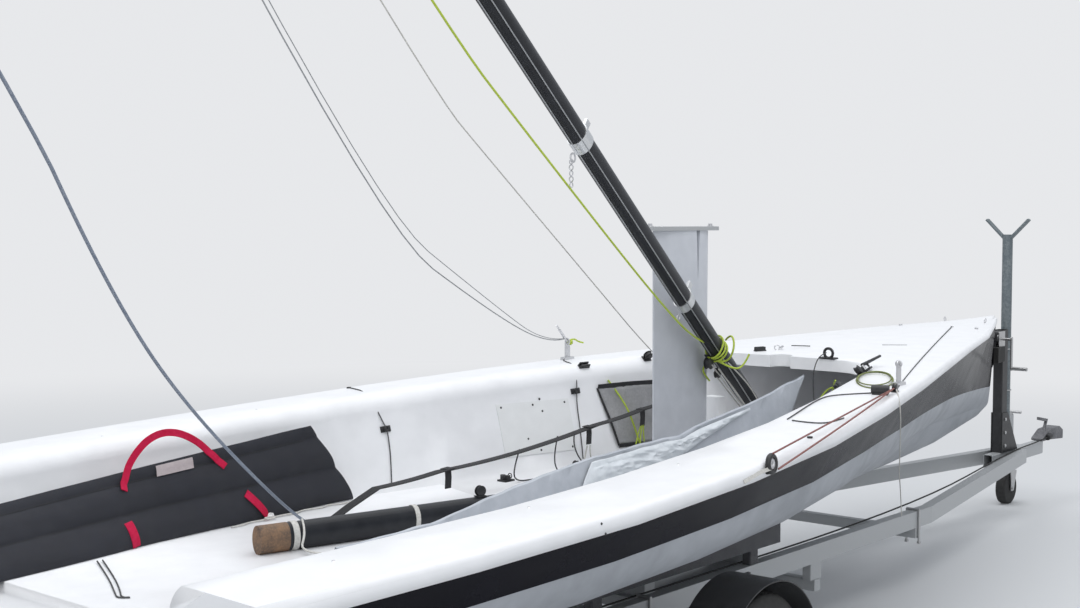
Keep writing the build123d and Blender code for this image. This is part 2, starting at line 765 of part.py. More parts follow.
with BuildPart() as rudder_blade:
    with BuildSketch(Plane((RUDDER_X, 0, 330))):
        with BuildLine():
            foil(90, 16)
        make_face()
    with BuildSketch(Plane((RUDDER_X, 0, 560))):
        with BuildLine():
            foil(104, 30)
        make_face()
    with BuildSketch(Plane((RUDDER_X, 0, 1045))):
        with BuildLine():
            foil(104, 40)
        make_face()
    loft(ruled=True)
    add(rudder_head.part, mode=Mode.SUBTRACT)
save(rudder_blade.part, "rudder_blade")

# Tiller folded up on its cheeks, extension folded back along it
TILLER_PIN = (RUDDER_X + 20, 0, TILLER_PIN_Z)
TILLER_UP = 100
TILLER_L = 820
up = radians(TILLER_UP)
TILLER_DIR = (cos(up), 0, sin(up))
with BuildPart() as tiller:
    with BuildSketch(Plane(origin=TILLER_PIN, x_dir=(0, 1, 0), z_dir=TILLER_DIR)):
        RectangleRounded(34, 34, 8)
    extrude(amount=TILLER_L)
    with BuildSketch(Plane.XZ.offset(-17)):
        with Locations((TILLER_PIN[0], TILLER_PIN[2])):
            Circle(24)
    extrude(amount=34)
    with BuildSketch(Plane.XZ.offset(-34)):
        with Locations((TILLER_PIN[0], TILLER_PIN[2])):
            Circle(8)
    extrude(amount=68)
save(tiller.part, "tiller")

EXT_L = 900
EXT_PIN = tuple(p + d * (TILLER_L - 30) for p, d in zip(TILLER_PIN, TILLER_DIR))
EXT_Y = 36
with BuildPart() as tiller_extension:
    with BuildSketch(
        Plane(
            origin=(EXT_PIN[0], EXT_Y, EXT_PIN[2]),
            x_dir=(0, 1, 0),
            z_dir=tuple(-d for d in TILLER_DIR),
        ).offset(-30)
    ):
        Circle(12)
    extrude(amount=EXT_L * 0.8)
    with BuildSketch(Plane.XZ.offset(-EXT_Y)):
        with Locations((EXT_PIN[0], EXT_PIN[2])):
            Circle(5)
    extrude(amount=EXT_Y - 17)
save(tiller_extension.part, "tiller_extension")


# Drawn-in bowsprit with its bearing ring at the outlet
with BuildPart() as bowsprit:
    with BuildSketch(Plane.YZ.offset(SPRIT_FROM)):
        with Locations((SPRIT_Y, SPRIT_Z)):
            Circle(SPRIT_R)
            Circle(SPRIT_R - 3, mode=Mode.SUBTRACT)
    extrude(amount=SPRIT_TIP - SPRIT_FROM)
    with BuildSketch(Plane.YZ.offset(SPRIT_TIP)):
        with Locations((SPRIT_Y, SPRIT_Z)):
            Circle(SPRIT_R)
    extrude(amount=14)
save(bowsprit.part, "bowsprit")
with BuildPart() as bowsprit_ring:
    with BuildSketch(Plane.YZ.offset(SPRIT_EXIT - 60)):
        with Locations((SPRIT_Y, SPRIT_Z)):
            Circle(SPRIT_BORE_R)
            Circle(SPRIT_R + SLIDE_GAP, mode=Mode.SUBTRACT)
    extrude(amount=50)
save(bowsprit_ring.part, "bowsprit_ring")

# Trailer frame: two rails that close into an A, drawbar, cross members
A_NOSE_Y = 60
for side, name in ((1, "rail_port"), (-1, "rail_starboard")):
    with BuildPart() as rail:
        with BuildSketch(Plane.XY.offset(RAIL_Z)):
            with BuildLine():
                out_y = RAIL_Y + RAIL_W / 2
                in_y = RAIL_Y - RAIL_W / 2
                Polyline(
                    (RAIL_AFT_X, side * out_y), (RAIL_BEND_X, side * out_y),
                    (POST_X + 200, side * (A_NOSE_Y + 30)), (POST_X + 200, side * (A_NOSE_Y - 30)),
                    (RAIL_BEND_X - 10, side * in_y), (RAIL_AFT_X, side * in_y),
                    close=True,
                )
            make_face()
        extrude(amount=RAIL_H)
    save(rail.part, name)

CROSS_H = 50
KEEL_CROSS_Z = 176
KEEL_CROSS_X = (TRANSOM_X + 2850, TRANSOM_X + 3600)
with BuildPart() as cross_members:
    for x in (TRANSOM_X + 600, RAIL_BEND_X - 150):
        with BuildSketch(Plane.XZ.offset(-RAIL_Y - 25)):
            with Locations((x, RAIL_Z - CROSS_H / 2)):
                RectangleRounded(50, CROSS_H, 6)
        extrude(amount=2 * RAIL_Y + 50)
save(cross_members.part, "cross_members")
with BuildPart() as keel_cross_members:
    for x in KEEL_CROSS_X:
        with BuildSketch(Plane.XZ.offset(-RAIL_Y - 25)):
            with Locations((x, KEEL_CROSS_Z + CROSS_H / 2)):
                RectangleRounded(50, CROSS_H, 6)
        extrude(amount=2 * RAIL_Y + 50)
        with BuildSketch(Plane.XY.offset(KEEL_CROSS_Z + CROSS_H)):
            with Locations((x, RAIL_Y - 3), (x, 3 - RAIL_Y)):
                RectangleRounded(90, 44, 6)
        extrude(amount=RAIL_Z - KEEL_CROSS_Z - CROSS_H)
save(keel_cross_members.part, "keel_cross_members")

with BuildPart() as drawbar:
    with BuildSketch(Plane.YZ.offset(POST_X - 160)):
        with Locations((0, RAIL_Z + RAIL_H / 2)):
            RectangleRounded(DRAWBAR_W, RAIL_H, 8)
            RectangleRounded(DRAWBAR_W - 8, RAIL_H - 8, 6, mode=Mode.SUBTRACT)
    extrude(amount=NOSE_X + 120 - POST_X + 160)
save(drawbar.part, "drawbar")

HITCH_X = COUPLING_TIP_X - 45
with BuildPart() as coupling:
    with BuildSketch(Plane.XZ.offset(-38)):
        with BuildLine():
            Polyline(
                (NOSE_X + 60, RAIL_Z + RAIL_H), (NOSE_X + 200, RAIL_Z + RAIL_H + 62),
                (COUPLING_TIP_X - 60, RAIL_Z + RAIL_H + 70), (COUPLING_TIP_X, RAIL_Z + RAIL_H + 40),
                (COUPLING_TIP_X, RAIL_Z + RAIL_H - 16), (NOSE_X + 200, RAIL_Z + RAIL_H),
                close=True,
            )
        make_face()
    extrude(amount=76)
    fillet(coupling.edges().filter_by(Axis.Y), 10)
    with BuildSketch(Plane.XY.offset(RAIL_Z + RAIL_H - 20)):
        with Locations((HITCH_X, 0)):
            Circle(25.5)
    extrude(amount=56, mode=Mode.SUBTRACT)
    with BuildSketch(Plane.XZ.offset(-9)):
        with BuildLine():
            Polyline(
                (NOSE_X + 210, RAIL_Z + RAIL_H + 55), (NOSE_X + 250, RAIL_Z + RAIL_H + 125),
                (NOSE_X + 110, RAIL_Z + RAIL_H + 150), (NOSE_X + 110, RAIL_Z + RAIL_H + 132),
                (NOSE_X + 232, RAIL_Z + RAIL_H + 110), (NOSE_X + 190, RAIL_Z + RAIL_H + 50),
                close=True,
            )
        make_face()
    extrude(amount=18)
save(coupling.part, "coupling")

# Torsion axle with its trailing arms and stub axles
BEAM_X = AXLE_X + 125
STUB_R = 17
with BuildPart() as axle:
    with BuildSketch(Plane.XZ.offset(-820)):
        with Locations((BEAM_X, RAIL_Z - 30)):
            RectangleRounded(60, 60, 8)
    extrude(amount=1640)
    slope = atan2(RAIL_Z - 30 - WHEEL_R, BEAM_X - AXLE_X)
    for side in (-1, 1):
        with BuildSketch(Plane.XZ.offset(-side * 837 - 17.5)):
            with Locations(((AXLE_X + BEAM_X) / 2, (WHEEL_R + RAIL_Z - 30) / 2)):
                SlotCenterToCenter(BEAM_X - AXLE_X, 76, rotation=degrees(slope))
        extrude(amount=35)
        with BuildSketch(Plane.XZ.offset(-side * 930 - 76)):
            with Locations((AXLE_X, WHEEL_R)):
                Circle(STUB_R)
        extrude(amount=152)
save(axle.part, "axle")

# Road wheels: tyre by revolve, dished rim with ring of holes
RIM_R = 145
HUB_R = STUB_R + PIN_GAP
for side, end in ((1, "port"), (-1, "starboard")):
    hub = Axis((AXLE_X, 0, WHEEL_R), (0, 1, 0))
    with BuildPart() as tyre:
        with BuildSketch(Plane.YZ.offset(AXLE_X)):
            half = WHEEL_W / 2
            mid = side * WHEEL_Y
            with BuildLine():
                Line((mid - half * 0.72, WHEEL_R + RIM_R), (mid + half * 0.72, WHEEL_R + RIM_R))
                ThreePointArc(
                    (mid + half * 0.72, WHEEL_R + RIM_R),
                    (mid + half, WHEEL_R + RIM_R + 52),
                    (mid + half * 0.78, WHEEL_R * 2 - 10),
                )
                ThreePointArc(
                    (mid + half * 0.78, WHEEL_R * 2 - 10),
                    (mid, WHEEL_R * 2),
                    (mid - half * 0.78, WHEEL_R * 2 - 10),
                )
                ThreePointArc(
                    (mid - half * 0.78, WHEEL_R * 2 - 10),
                    (mid - half, WHEEL_R + RIM_R + 52),
                    (mid - half * 0.72, WHEEL_R + RIM_R),
                )
            make_face()
        revolve(axis=hub)
    save(tyre.part, f"tyre_{end}")
    with BuildPart() as mudguard:
        with BuildSketch(Plane.XZ.offset(-side * WHEEL_Y - 100)):
            with BuildLine():
                outer = CenterArc((AXLE_X, WHEEL_R), 306, 12, 156)
                inner = CenterArc((AXLE_X, WHEEL_R), 302, 12, 156)
                Line(outer @ 0, inner @ 0)
                Line(outer @ 1, inner @ 1)
            make_face()
        extrude(amount=200)
        with BuildSketch(Plane.XZ.offset(-side * (WHEEL_Y - 80) - 3)):
            with BuildLine():
                outer = CenterArc((AXLE_X, WHEEL_R), 303, 30, 120)
                inner = CenterArc((AXLE_X, WHEEL_R), 276, 30, 120)
                Line(outer @ 0, inner @ 0)
                Line(outer @ 1, inner @ 1)
            make_face()
        extrude(amount=6)
        with BuildSketch(Plane.XZ.offset(-side * 665 - 210)):
            with Locations((BEAM_X, RAIL_Z + 17)):
                Rectangle(50, 10)
        extrude(amount=420)
        with BuildSketch(Plane.XZ.offset(-side * 868 - 6)):
            with Locations((BEAM_X, RAIL_Z + 127)):
                Rectangle(50, 230)
        extrude(amount=12)
    save(mudguard.part, f"mudguard_{end}")

# Dished rims, the starboard one mirrored
hub = Axis((AXLE_X, 0, WHEEL_R), (0, 1, 0))
mid = WHEEL_Y
with BuildPart() as rim:
    with BuildSketch(Plane.YZ.offset(AXLE_X)):
        with BuildLine():
            Polyline(
                (mid - 60, WHEEL_R + RIM_R), (mid + 60, WHEEL_R + RIM_R),
                (mid + 60, WHEEL_R + RIM_R - 8), (mid + 10, WHEEL_R + RIM_R - 26),
                (mid + 28, WHEEL_R + 60), (mid + 28, WHEEL_R + 40), (mid + 46, WHEEL_R + 36),
                (mid + 46, WHEEL_R + HUB_R), (mid, WHEEL_R + HUB_R), (mid, WHEEL_R + 40),
                (mid + 18, WHEEL_R + 40), (mid + 18, WHEEL_R + 58), (mid - 2, WHEEL_R + RIM_R - 26), (mid - 60, WHEEL_R + RIM_R - 8),
                close=True,
            )
        make_face()
    revolve(axis=hub)
    with BuildSketch(Plane.XZ.offset(-(WHEEL_Y + 20) - 40)):
        with Locations((AXLE_X, WHEEL_R)):
            with PolarLocations(92, 8):
                Circle(13)
    extrude(amount=80, mode=Mode.SUBTRACT)
save(rim.part, "rim_port")
with BuildPart() as rim_mirrored:
    mirror(rim.part, about=Plane.XZ)
save(rim_mirrored.part, "rim_starboard")

# Bunks that follow the hull, each on three posts
BUNK_FROM = TRANSOM_X + 900
BUNK_TO = TRANSOM_X + 3250
for side, end in ((1, "port"), (-1, "starboard")):
    with BuildPart() as bunk:
        with BuildSketch(Plane.XY.offset(RAIL_Z + RAIL_H + 70)):
            with Locations(((BUNK_FROM + BUNK_TO) / 2, side * RAIL_Y)):
                Rectangle(BUNK_TO - BUNK_FROM, 100)
        extrude(amount=170)
        with BuildSketch(Plane.XY.offset(RAIL_Z + RAIL_H)):
            for x in (BUNK_FROM + 150, (BUNK_FROM + BUNK_TO) / 2, BUNK_TO - 150):
                with Locations((x, side * RAIL_Y)):
                    RectangleRounded(60, 40, 6)
        extrude(amount=72)
        add(hull.part, mode=Mode.SUBTRACT)
    save(bunk.part, f"bunk_{end}")

# Keel chock: tray on the two low cross members, cut to the bulb
with BuildPart() as keel_chock:
    with BuildSketch(Plane.XY.offset(226)):
        with Locations((KEEL_X + 10, 0)):
            RectangleRounded(900, 240, 10)
    extrude(amount=16)
    for x in (KEEL_X - 365, KEEL_X + 385):
        with BuildSketch(Plane.YZ.offset(x - 35)):
            with BuildLine():
                Polyline(
                    (-110, 242), (110, 242), (110, 330), (70, 330), (-70, 330), (-110, 330),
                    close=True,
                )
            make_face()
        extrude(amount=70)
    add(keel_bulb.part, mode=Mode.SUBTRACT)
save(keel_chock.part, "keel_chock")

# Winch post with snubber, winch, and the mast pole with its V
POST_TOP = FLOOR_Z + 470
with BuildPart() as winch_post:
    with BuildSketch(Plane.XY.offset(RAIL_Z + RAIL_H)):
        with Locations((POST_X, 0)):
            RectangleRounded(80, 60, 8)
            RectangleRounded(70, 50, 6, mode=Mode.SUBTRACT)
    extrude(amount=POST_TOP - RAIL_Z - RAIL_H)
    with BuildSketch(Plane.XZ.offset(-36)):
        with BuildLine():
            Polyline(
                (POST_X - 40, RAIL_Z + RAIL_H), (POST_X + 190, RAIL_Z + RAIL_H),
                (POST_X + 40, RAIL_Z + RAIL_H + 240), (POST_X - 40, RAIL_Z + RAIL_H + 240),
                close=True,
            )
        make_face()
    extrude(amount=6)
    mirror(about=Plane.XZ)
save(winch_post.part, "winch_post")

SNUB_Z = FLOOR_Z + 330
SNUB_X = TRANSOM_X + STEM_FOOT[0] + (SNUB_Z - STEM_FOOT[1]) / (STEM_TOP[1] - STEM_FOOT[1]) * 90
with BuildPart() as bow_snubber:
    with BuildSketch(Plane.XY.offset(SNUB_Z - 45)):
        with BuildLine():
            Polyline(
                (POST_X - 40, -45), (POST_X - 40, 45), (SNUB_X - 40, 75), (SNUB_X - 40, 45),
                (SNUB_X + 6, 8), (SNUB_X + 6, -8), (SNUB_X - 40, -45), (SNUB_X - 40, -75),
                close=True,
            )
        make_face()
    extrude(amount=90)
    add(hull.part, mode=Mode.SUBTRACT)
save(bow_snubber.part, "bow_snubber")

WINCH_Z = FLOOR_Z + 420
WINCH_X = POST_X - 88
with BuildPart() as winch_frame:
    with BuildSketch(Plane.YZ.offset(POST_X - 46)):
        with Locations((0, WINCH_Z)):
            Rectangle(86, 90)
    extrude(amount=6)
    for side in (-1, 1):
        with BuildSketch(Plane.XZ.offset(side * 40 - 3)):
            with Locations((POST_X - 84, WINCH_Z)):
                RectangleRounded(84, 90, 14)
            with Locations((WINCH_X, WINCH_Z)):
                Circle(8 + PIN_GAP, mode=Mode.SUBTRACT)
        extrude(amount=6)
save(winch_frame.part, "winch_frame")
with BuildPart() as winch_drum:
    with BuildSketch(Plane.XZ.offset(-31)):
        with Locations((WINCH_X, WINCH_Z)):
            Circle(30)
    extrude(amount=62)
    with BuildSketch(Plane.XZ.offset(-54)):
        with Locations((WINCH_X, WINCH_Z)):
            Circle(8)
    extrude(amount=160)
    with BuildSketch(Plane.XZ.offset(100)):
        with Locations((WINCH_X, WINCH_Z - 85)):
            RectangleRounded(22, 200, 8)
    extrude(amount=8)
    with BuildSketch(Plane.XZ.offset(100)):
        with Locations((WINCH_X, WINCH_Z - 172)):
            Circle(11)
    extrude(amount=100)
save(winch_drum.part, "winch_drum")

POLE_X = POST_X + 75
POLE_TOP = FLOOR_Z + 1040
with BuildPart() as mast_pole:
    with BuildSketch(Plane.XY.offset(RAIL_Z + RAIL_H)):
        with Locations((POLE_X, 0)):
            Circle(30)
            Circle(26, mode=Mode.SUBTRACT)
    extrude(amount=POLE_TOP - RAIL_Z - RAIL_H)
    for side in (-1, 1):
        root = (POLE_X, side * 12, POLE_TOP - 30)
        tip = Vector(POLE_X, side * 130, POLE_TOP + 90)
        with BuildSketch(Plane(origin=root, x_dir=(1, 0, 0), z_dir=tip - Vector(*root))):
            RectangleRounded(40, 14, 4)
        extrude(amount=(tip - Vector(*root)).length)
save(mast_pole.part, "mast_pole")

# Jockey wheel beside the drawbar
TUBE_LOW = 215
LEG_R = 20
TUBE_TOP = 560
with BuildPart() as jockey_clamp:
    with BuildSketch(Plane.XY.offset(RAIL_Z + 10)):
        with Locations((JOCKEY_X, JOCKEY_Y)):
            Circle(33)
        with Locations((JOCKEY_X, (DRAWBAR_W / 2 + JOCKEY_Y) / 2)):
            Rectangle(60, JOCKEY_Y - DRAWBAR_W / 2)
        with Locations((JOCKEY_X, JOCKEY_Y)):
            Circle(24, mode=Mode.SUBTRACT)
    extrude(amount=60)
    with BuildSketch(Plane.XY.offset(RAIL_Z)):
        with Locations((JOCKEY_X, JOCKEY_Y)):
            Circle(25)
            Circle(LEG_R + SLIDE_GAP, mode=Mode.SUBTRACT)
    extrude(amount=TUBE_TOP - RAIL_Z)
save(jockey_clamp.part, "jockey_clamp")
with BuildPart() as jockey_leg:
    with BuildSketch(Plane.XY.offset(TUBE_LOW - 6)):
        with Locations((JOCKEY_X, JOCKEY_Y)):
            Circle(LEG_R)
    extrude(amount=TUBE_TOP - TUBE_LOW + 20)
    with BuildSketch(Plane.XZ.offset(-JOCKEY_Y - 75)):
        with Locations((JOCKEY_X, TUBE_TOP + 17)):
            Circle(9)
    extrude(amount=150)
save(jockey_leg.part, "jockey_leg")
JOCKEY_TRAIL = 35
with BuildPart() as jockey_fork:
    with BuildSketch(Plane.XY.offset(TUBE_LOW - 12)):
        with Locations((JOCKEY_X - JOCKEY_TRAIL / 2, JOCKEY_Y)):
            RectangleRounded(90, 90, 10)
    extrude(amount=5.5)
    for side in (-1, 1):
        with BuildSketch(Plane.XZ.offset(-JOCKEY_Y + side * 40 - 3)):
            with BuildLine():
                Polyline(
                    (JOCKEY_X - JOCKEY_TRAIL - 18, JOCKEY_R - 16),
                    (JOCKEY_X - JOCKEY_TRAIL + 18, JOCKEY_R - 16),
                    (JOCKEY_X + 26, TUBE_LOW - 12), (JOCKEY_X - 60, TUBE_LOW - 12),
                    close=True,
                )
            make_face()
        extrude(amount=6)
    with BuildSketch(Plane.XZ.offset(-JOCKEY_Y - 48)):
        with Locations((JOCKEY_X - JOCKEY_TRAIL, JOCKEY_R)):
            Circle(8)
    extrude(amount=96)
save(jockey_fork.part, "jockey_fork")
with BuildPart() as jockey_wheel:
    with BuildSketch(Plane.XZ.offset(-JOCKEY_Y - 30)):
        with Locations((JOCKEY_X - JOCKEY_TRAIL, JOCKEY_R)):
            Circle(JOCKEY_R)
            Circle(8 + PIN_GAP, mode=Mode.SUBTRACT)
    extrude(amount=60)
    fillet(jockey_wheel.edges().filter_by(GeomType.CIRCLE).sort_by(SortBy.RADIUS)[-2:], 12)
save(jockey_wheel.part, "jockey_wheel")

# Light board across the stern of the trailer
with BuildPart() as light_board:
    with BuildSketch(Plane.YZ.offset(RAIL_AFT_X - 25)):
        with Locations((0, RAIL_Z + 45)):
            RectangleRounded(1700, 110, 12)
    extrude(amount=25)
save(light_board.part, "light_board")
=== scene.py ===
import math

import bmesh
import bpy
from mathutils import Matrix, Vector, noise
from mathutils.bvhtree import BVHTree


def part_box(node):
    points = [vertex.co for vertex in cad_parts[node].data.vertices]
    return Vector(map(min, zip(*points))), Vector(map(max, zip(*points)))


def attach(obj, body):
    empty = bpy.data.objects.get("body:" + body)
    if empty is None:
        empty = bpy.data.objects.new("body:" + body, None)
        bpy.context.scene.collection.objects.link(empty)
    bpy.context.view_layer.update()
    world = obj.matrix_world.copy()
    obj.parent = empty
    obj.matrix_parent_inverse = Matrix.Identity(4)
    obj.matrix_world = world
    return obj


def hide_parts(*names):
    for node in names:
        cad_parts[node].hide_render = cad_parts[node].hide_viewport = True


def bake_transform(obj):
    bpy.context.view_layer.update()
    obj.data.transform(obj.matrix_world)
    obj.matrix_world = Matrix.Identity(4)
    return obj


bl_info = {
    "name": "Sport keelboat dressing",
    "version": (1, 0, 0),
    "blender": (4, 5, 0),
    "location": "View3D > Sidebar > Keelboat",
    "description": "Finishes, soft goods, rigging and fittings for a sport keelboat on its trailer",
    "category": "Object",
}

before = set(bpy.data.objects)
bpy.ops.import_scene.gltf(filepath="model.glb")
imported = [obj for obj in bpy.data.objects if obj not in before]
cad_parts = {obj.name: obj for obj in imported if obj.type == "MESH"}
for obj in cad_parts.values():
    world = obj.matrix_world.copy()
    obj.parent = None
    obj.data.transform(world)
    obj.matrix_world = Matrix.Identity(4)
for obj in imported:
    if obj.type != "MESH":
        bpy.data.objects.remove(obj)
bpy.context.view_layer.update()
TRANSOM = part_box("deck_moulding")[0].x
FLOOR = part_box("keel_trunk")[0].z
BOAT = "boat_and_trailer"

# Mast: heel, direction up the mast and its own port and aft directions
MAST_LEAN = math.radians(52.8)
MAST_SWING = math.radians(6)
MAST_HEEL = Vector((TRANSOM + 4.02, 0, FLOOR + 0.062))
MAST_UP = Vector((
    -math.sin(MAST_LEAN) * math.cos(MAST_SWING),
    -math.sin(MAST_SWING),
    math.cos(MAST_LEAN) * math.cos(MAST_SWING),
)).normalized()
MAST_PORT = Vector((MAST_UP.y, -MAST_UP.x, 0)).normalized()
MAST_AFT = MAST_PORT.cross(MAST_UP)
if MAST_AFT.z > 0:
    MAST_AFT.negate()
MAST_HALF = (0.035, 0.045)
HOUNDS = 6.5

# Camera fitted to the photograph
CAMERA_PLACE = (-4.158, -3.595, 1.758)
CAMERA_TURN = (86.843, 0.0, -49.50)
CAMERA_LENS = 48.8


def surface_of(node):
    """Search tree of a CAD node's faces, for seating pieces on it."""
    shape = bmesh.new()
    shape.from_mesh(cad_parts[node].data)
    tree = BVHTree.FromBMesh(shape)
    shape.free()
    return tree


DECK = surface_of("deck_moulding")

# Where the rays start that look for the deck, a tank face or the lip
ABOVE_DECK = 0.9
MID_COCKPIT = 0.3
OUTBOARD = 2.0


def at(x, y, z=0.0):
    """Point by distance from the transom, to port and above the cockpit floor."""
    return Vector((TRANSOM + x, y, FLOOR + z))


def on_deck(x, y, lift=0.0):
    """Point on the deck or floor straight below, and the normal there."""
    place, normal, _, _ = DECK.ray_cast(at(x, y, ABOVE_DECK), Vector((0, 0, -1)))
    if place is None:
        raise ValueError(f"nothing of the deck lies below {x:.2f}, {y:.2f}")
    if normal.z < 0:
        normal = -normal
    return place + normal * lift, normal


def on_tank(x, z, side=1, lift=0.0):
    """Point on a tank face, seen from the middle of the cockpit, and its normal."""
    place, normal, _, _ = DECK.ray_cast(at(x, side * MID_COCKPIT, z), Vector((0, side, 0)))
    if place is None:
        raise ValueError(f"no tank face at {x:.2f}, {z:.2f}")
    if normal.y * side > 0:
        normal = -normal
    return place + normal * lift, normal


def on_lip(x, z, side=-1):
    """Point on the outside of the deck's lip and the normal there."""
    place, normal, _, _ = DECK.ray_cast(at(x, side * OUTBOARD, z), Vector((0, -side, 0)))
    if place is None:
        raise ValueError(f"no lip at {x:.2f}, {z:.2f}")
    if normal.y * side < 0:
        normal = -normal
    return place, normal


def up_mast(along, port=0.0, aft=0.0):
    """Point at the mast: distance from the heel, to port and aft of its axis."""
    return MAST_HEEL + MAST_UP * along + MAST_PORT * port + MAST_AFT * aft


def path(*places):
    """Points by distance from the transom, to port and above the cockpit floor."""
    return [at(*place) for place in places]


def mast_path(*places):
    """Points at the mast: distance from the heel, to port and aft of its axis."""
    return [up_mast(*place) for place in places]


def seat(place, normal, along=(1, 0, 0)):
    """Frame with Z along a normal and X as near as can be to a direction."""
    up = Vector(normal).normalized()
    side = up.cross(Vector(along)).normalized()
    fore = side.cross(up)
    turned = Matrix((fore, side, up)).transposed().to_4x4()
    return Matrix.Translation(place) @ turned


# Mesh tools


def add_block(shape, where, size, centre=(0, 0, 0), bevel=0.0015):
    """Box with rounded edges in a frame."""
    matrix = where @ Matrix.Translation(centre) @ Matrix.Diagonal((*size, 1))
    made = bmesh.ops.create_cube(shape, size=1.0, matrix=matrix)
    if bevel:
        edges = list({e for v in made["verts"] for e in v.link_edges})
        bmesh.ops.bevel(
            shape, geom=edges, offset=min(bevel, min(size) * 0.4), segments=2,
            affect="EDGES", profile=0.5, material=-1,
        )


def add_round(shape, where, radius, depth, centre=(0, 0, 0), top=None, segments=20, bevel=0.001):
    """Turned piece along the frame's Z, with eased rims."""
    matrix = where @ Matrix.Translation(centre)
    made = bmesh.ops.create_cone(
        shape, cap_ends=True, cap_tris=False, segments=segments, radius1=radius,
        radius2=radius if top is None else top, depth=depth, matrix=matrix,
    )
    if bevel:
        axis = (matrix.to_3x3() @ Vector((0, 0, 1))).normalized()
        rims = [
            e for e in {e for v in made["verts"] for e in v.link_edges}
            if abs((e.verts[0].co - e.verts[1].co).normalized().dot(axis)) < 0.2
        ]
        bmesh.ops.bevel(
            shape, geom=rims, offset=min(bevel, depth * 0.3), segments=2,
            affect="EDGES", profile=0.5, material=-1,
        )


def add_bar(shape, start, end, radius, segments=10, top=None):
    """Round bar between two points."""
    start, end = Vector(start), Vector(end)
    run = end - start
    helper = (0, 0, 1) if abs(run.normalized().z) < 0.9 else (1, 0, 0)
    where = seat((start + end) / 2, run, helper)
    add_round(shape, where, radius, run.length, top=top, segments=segments, bevel=0)


RING_TURNS = {
    "X": Matrix.Rotation(math.pi / 2, 4, "Y"),
    "Y": Matrix.Rotation(math.pi / 2, 4, "X"),
    "Z": Matrix.Identity(4),
}


def add_ring(shape, where, radius, thick, centre=(0, 0, 0), around="Z", steps=24, sides=8):
    """Ring of round section about an axis of the frame."""
    matrix = where @ Matrix.Translation(centre) @ RING_TURNS[around]
    section = matrix @ Matrix.Translation((radius, 0, 0)) @ Matrix.Rotation(math.pi / 2, 4, "X")
    made = bmesh.ops.create_circle(shape, segments=sides, radius=thick, matrix=section)
    edges = list({e for v in made["verts"] for e in v.link_edges})
    bmesh.ops.spin(
        shape, geom=made["verts"] + edges, cent=matrix.translation,
        axis=matrix.to_3x3() @ Vector((0, 0, 1)), angle=2 * math.pi,
        steps=steps, use_merge=True,
    )


def settle(name, shape, body, material, replaces=(), crease=35, doubles=1e-5):
    """Turns a finished shape into a piece of the object, and returns it."""
    if doubles:
        bmesh.ops.remove_doubles(shape, verts=shape.verts, dist=doubles)
    bmesh.ops.recalc_face_normals(shape, faces=shape.faces)
    mesh = bpy.data.meshes.new(name)
    shape.to_mesh(mesh)
    shape.free()
    return enter(name, mesh, body, material, replaces, crease)


def enter(name, mesh, body, material, replaces=(), crease=35):
    """Links a mesh as a piece with its body and material."""
    piece = bpy.data.objects.new(name, mesh)
    bpy.context.scene.collection.objects.link(piece)
    mesh.materials.clear()
    mesh.materials.append(material)
    mesh.polygons.foreach_set("use_smooth", [True] * len(mesh.polygons))
    mesh.set_sharp_from_angle(angle=math.radians(crease))
    if body:
        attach(piece, body)
    if replaces:
        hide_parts(*replaces)
    return piece


def line_mesh(name, routes, radius, steps=6):
    """Mesh of one or more lines, each along its own route of points."""
    curve = bpy.data.curves.new(name, "CURVE")
    curve.dimensions = "3D"
    curve.bevel_depth = radius
    curve.bevel_resolution = 2
    curve.resolution_u = steps
    curve.use_fill_caps = True
    for route in routes:
        spline = curve.splines.new("NURBS")
        spline.points.add(len(route) - 1)
        for point, place in zip(spline.points, route):
            point.co = (*place, 1)
        spline.order_u = 3
        spline.use_endpoint_u = True
    holder = bpy.data.objects.new(name, curve)
    bpy.context.scene.collection.objects.link(holder)
    graph = bpy.context.evaluated_depsgraph_get()
    mesh = bpy.data.meshes.new_from_object(holder.evaluated_get(graph))
    mesh.name = name
    bpy.data.objects.remove(holder)
    bpy.data.curves.remove(curve)
    return mesh


def lines(name, routes, radius, finish_name, body=BOAT, steps=6):
    """Fixed lines that lie on the object and ride on one body."""
    mesh = line_mesh(name, routes, radius, steps)
    return enter(name, mesh, body, finish(finish_name), crease=60)


def strap_between(shape, places, width, thick, flat=None, facing=None):
    """Flat webbing along places: its width runs along flat, or its face looks along facing."""
    rows = []
    for i, place in enumerate(places):
        place = Vector(place)
        before = Vector(places[max(i - 1, 0)])
        after = Vector(places[min(i + 1, len(places) - 1)])
        run = (after - before).normalized()
        across = Vector(flat).normalized() if flat else run.cross(Vector(facing)).normalized()
        lift = run.cross(across).normalized() * thick / 2
        side = across * width / 2
        corners = [place - side - lift, place + side - lift, place + side + lift, place - side + lift]
        rows.append([shape.verts.new(corner) for corner in corners])
    edges = []
    for row in rows:
        edges.append([shape.edges.new((row[i], row[(i + 1) % 4])) for i in range(4)])
    for near, far in zip(edges, edges[1:]):
        bmesh.ops.bridge_loops(shape, edges=near + far)
    for end in (rows[0], rows[-1]):
        shape.faces.new(end)


# Node groups shared by the finishes


def new_group(name, inputs, outputs):
    """Shader node group with its sockets, its input and output nodes."""
    group = bpy.data.node_groups.new(name, "ShaderNodeTree")
    for label, kind, value in inputs:
        socket = group.interface.new_socket(name=label, in_out="INPUT", socket_type=kind)
        if value is not None:
            socket.default_value = value
    for label, kind in outputs:
        group.interface.new_socket(name=label, in_out="OUTPUT", socket_type=kind)
    return group, group.nodes.new("NodeGroupInput"), group.nodes.new("NodeGroupOutput")


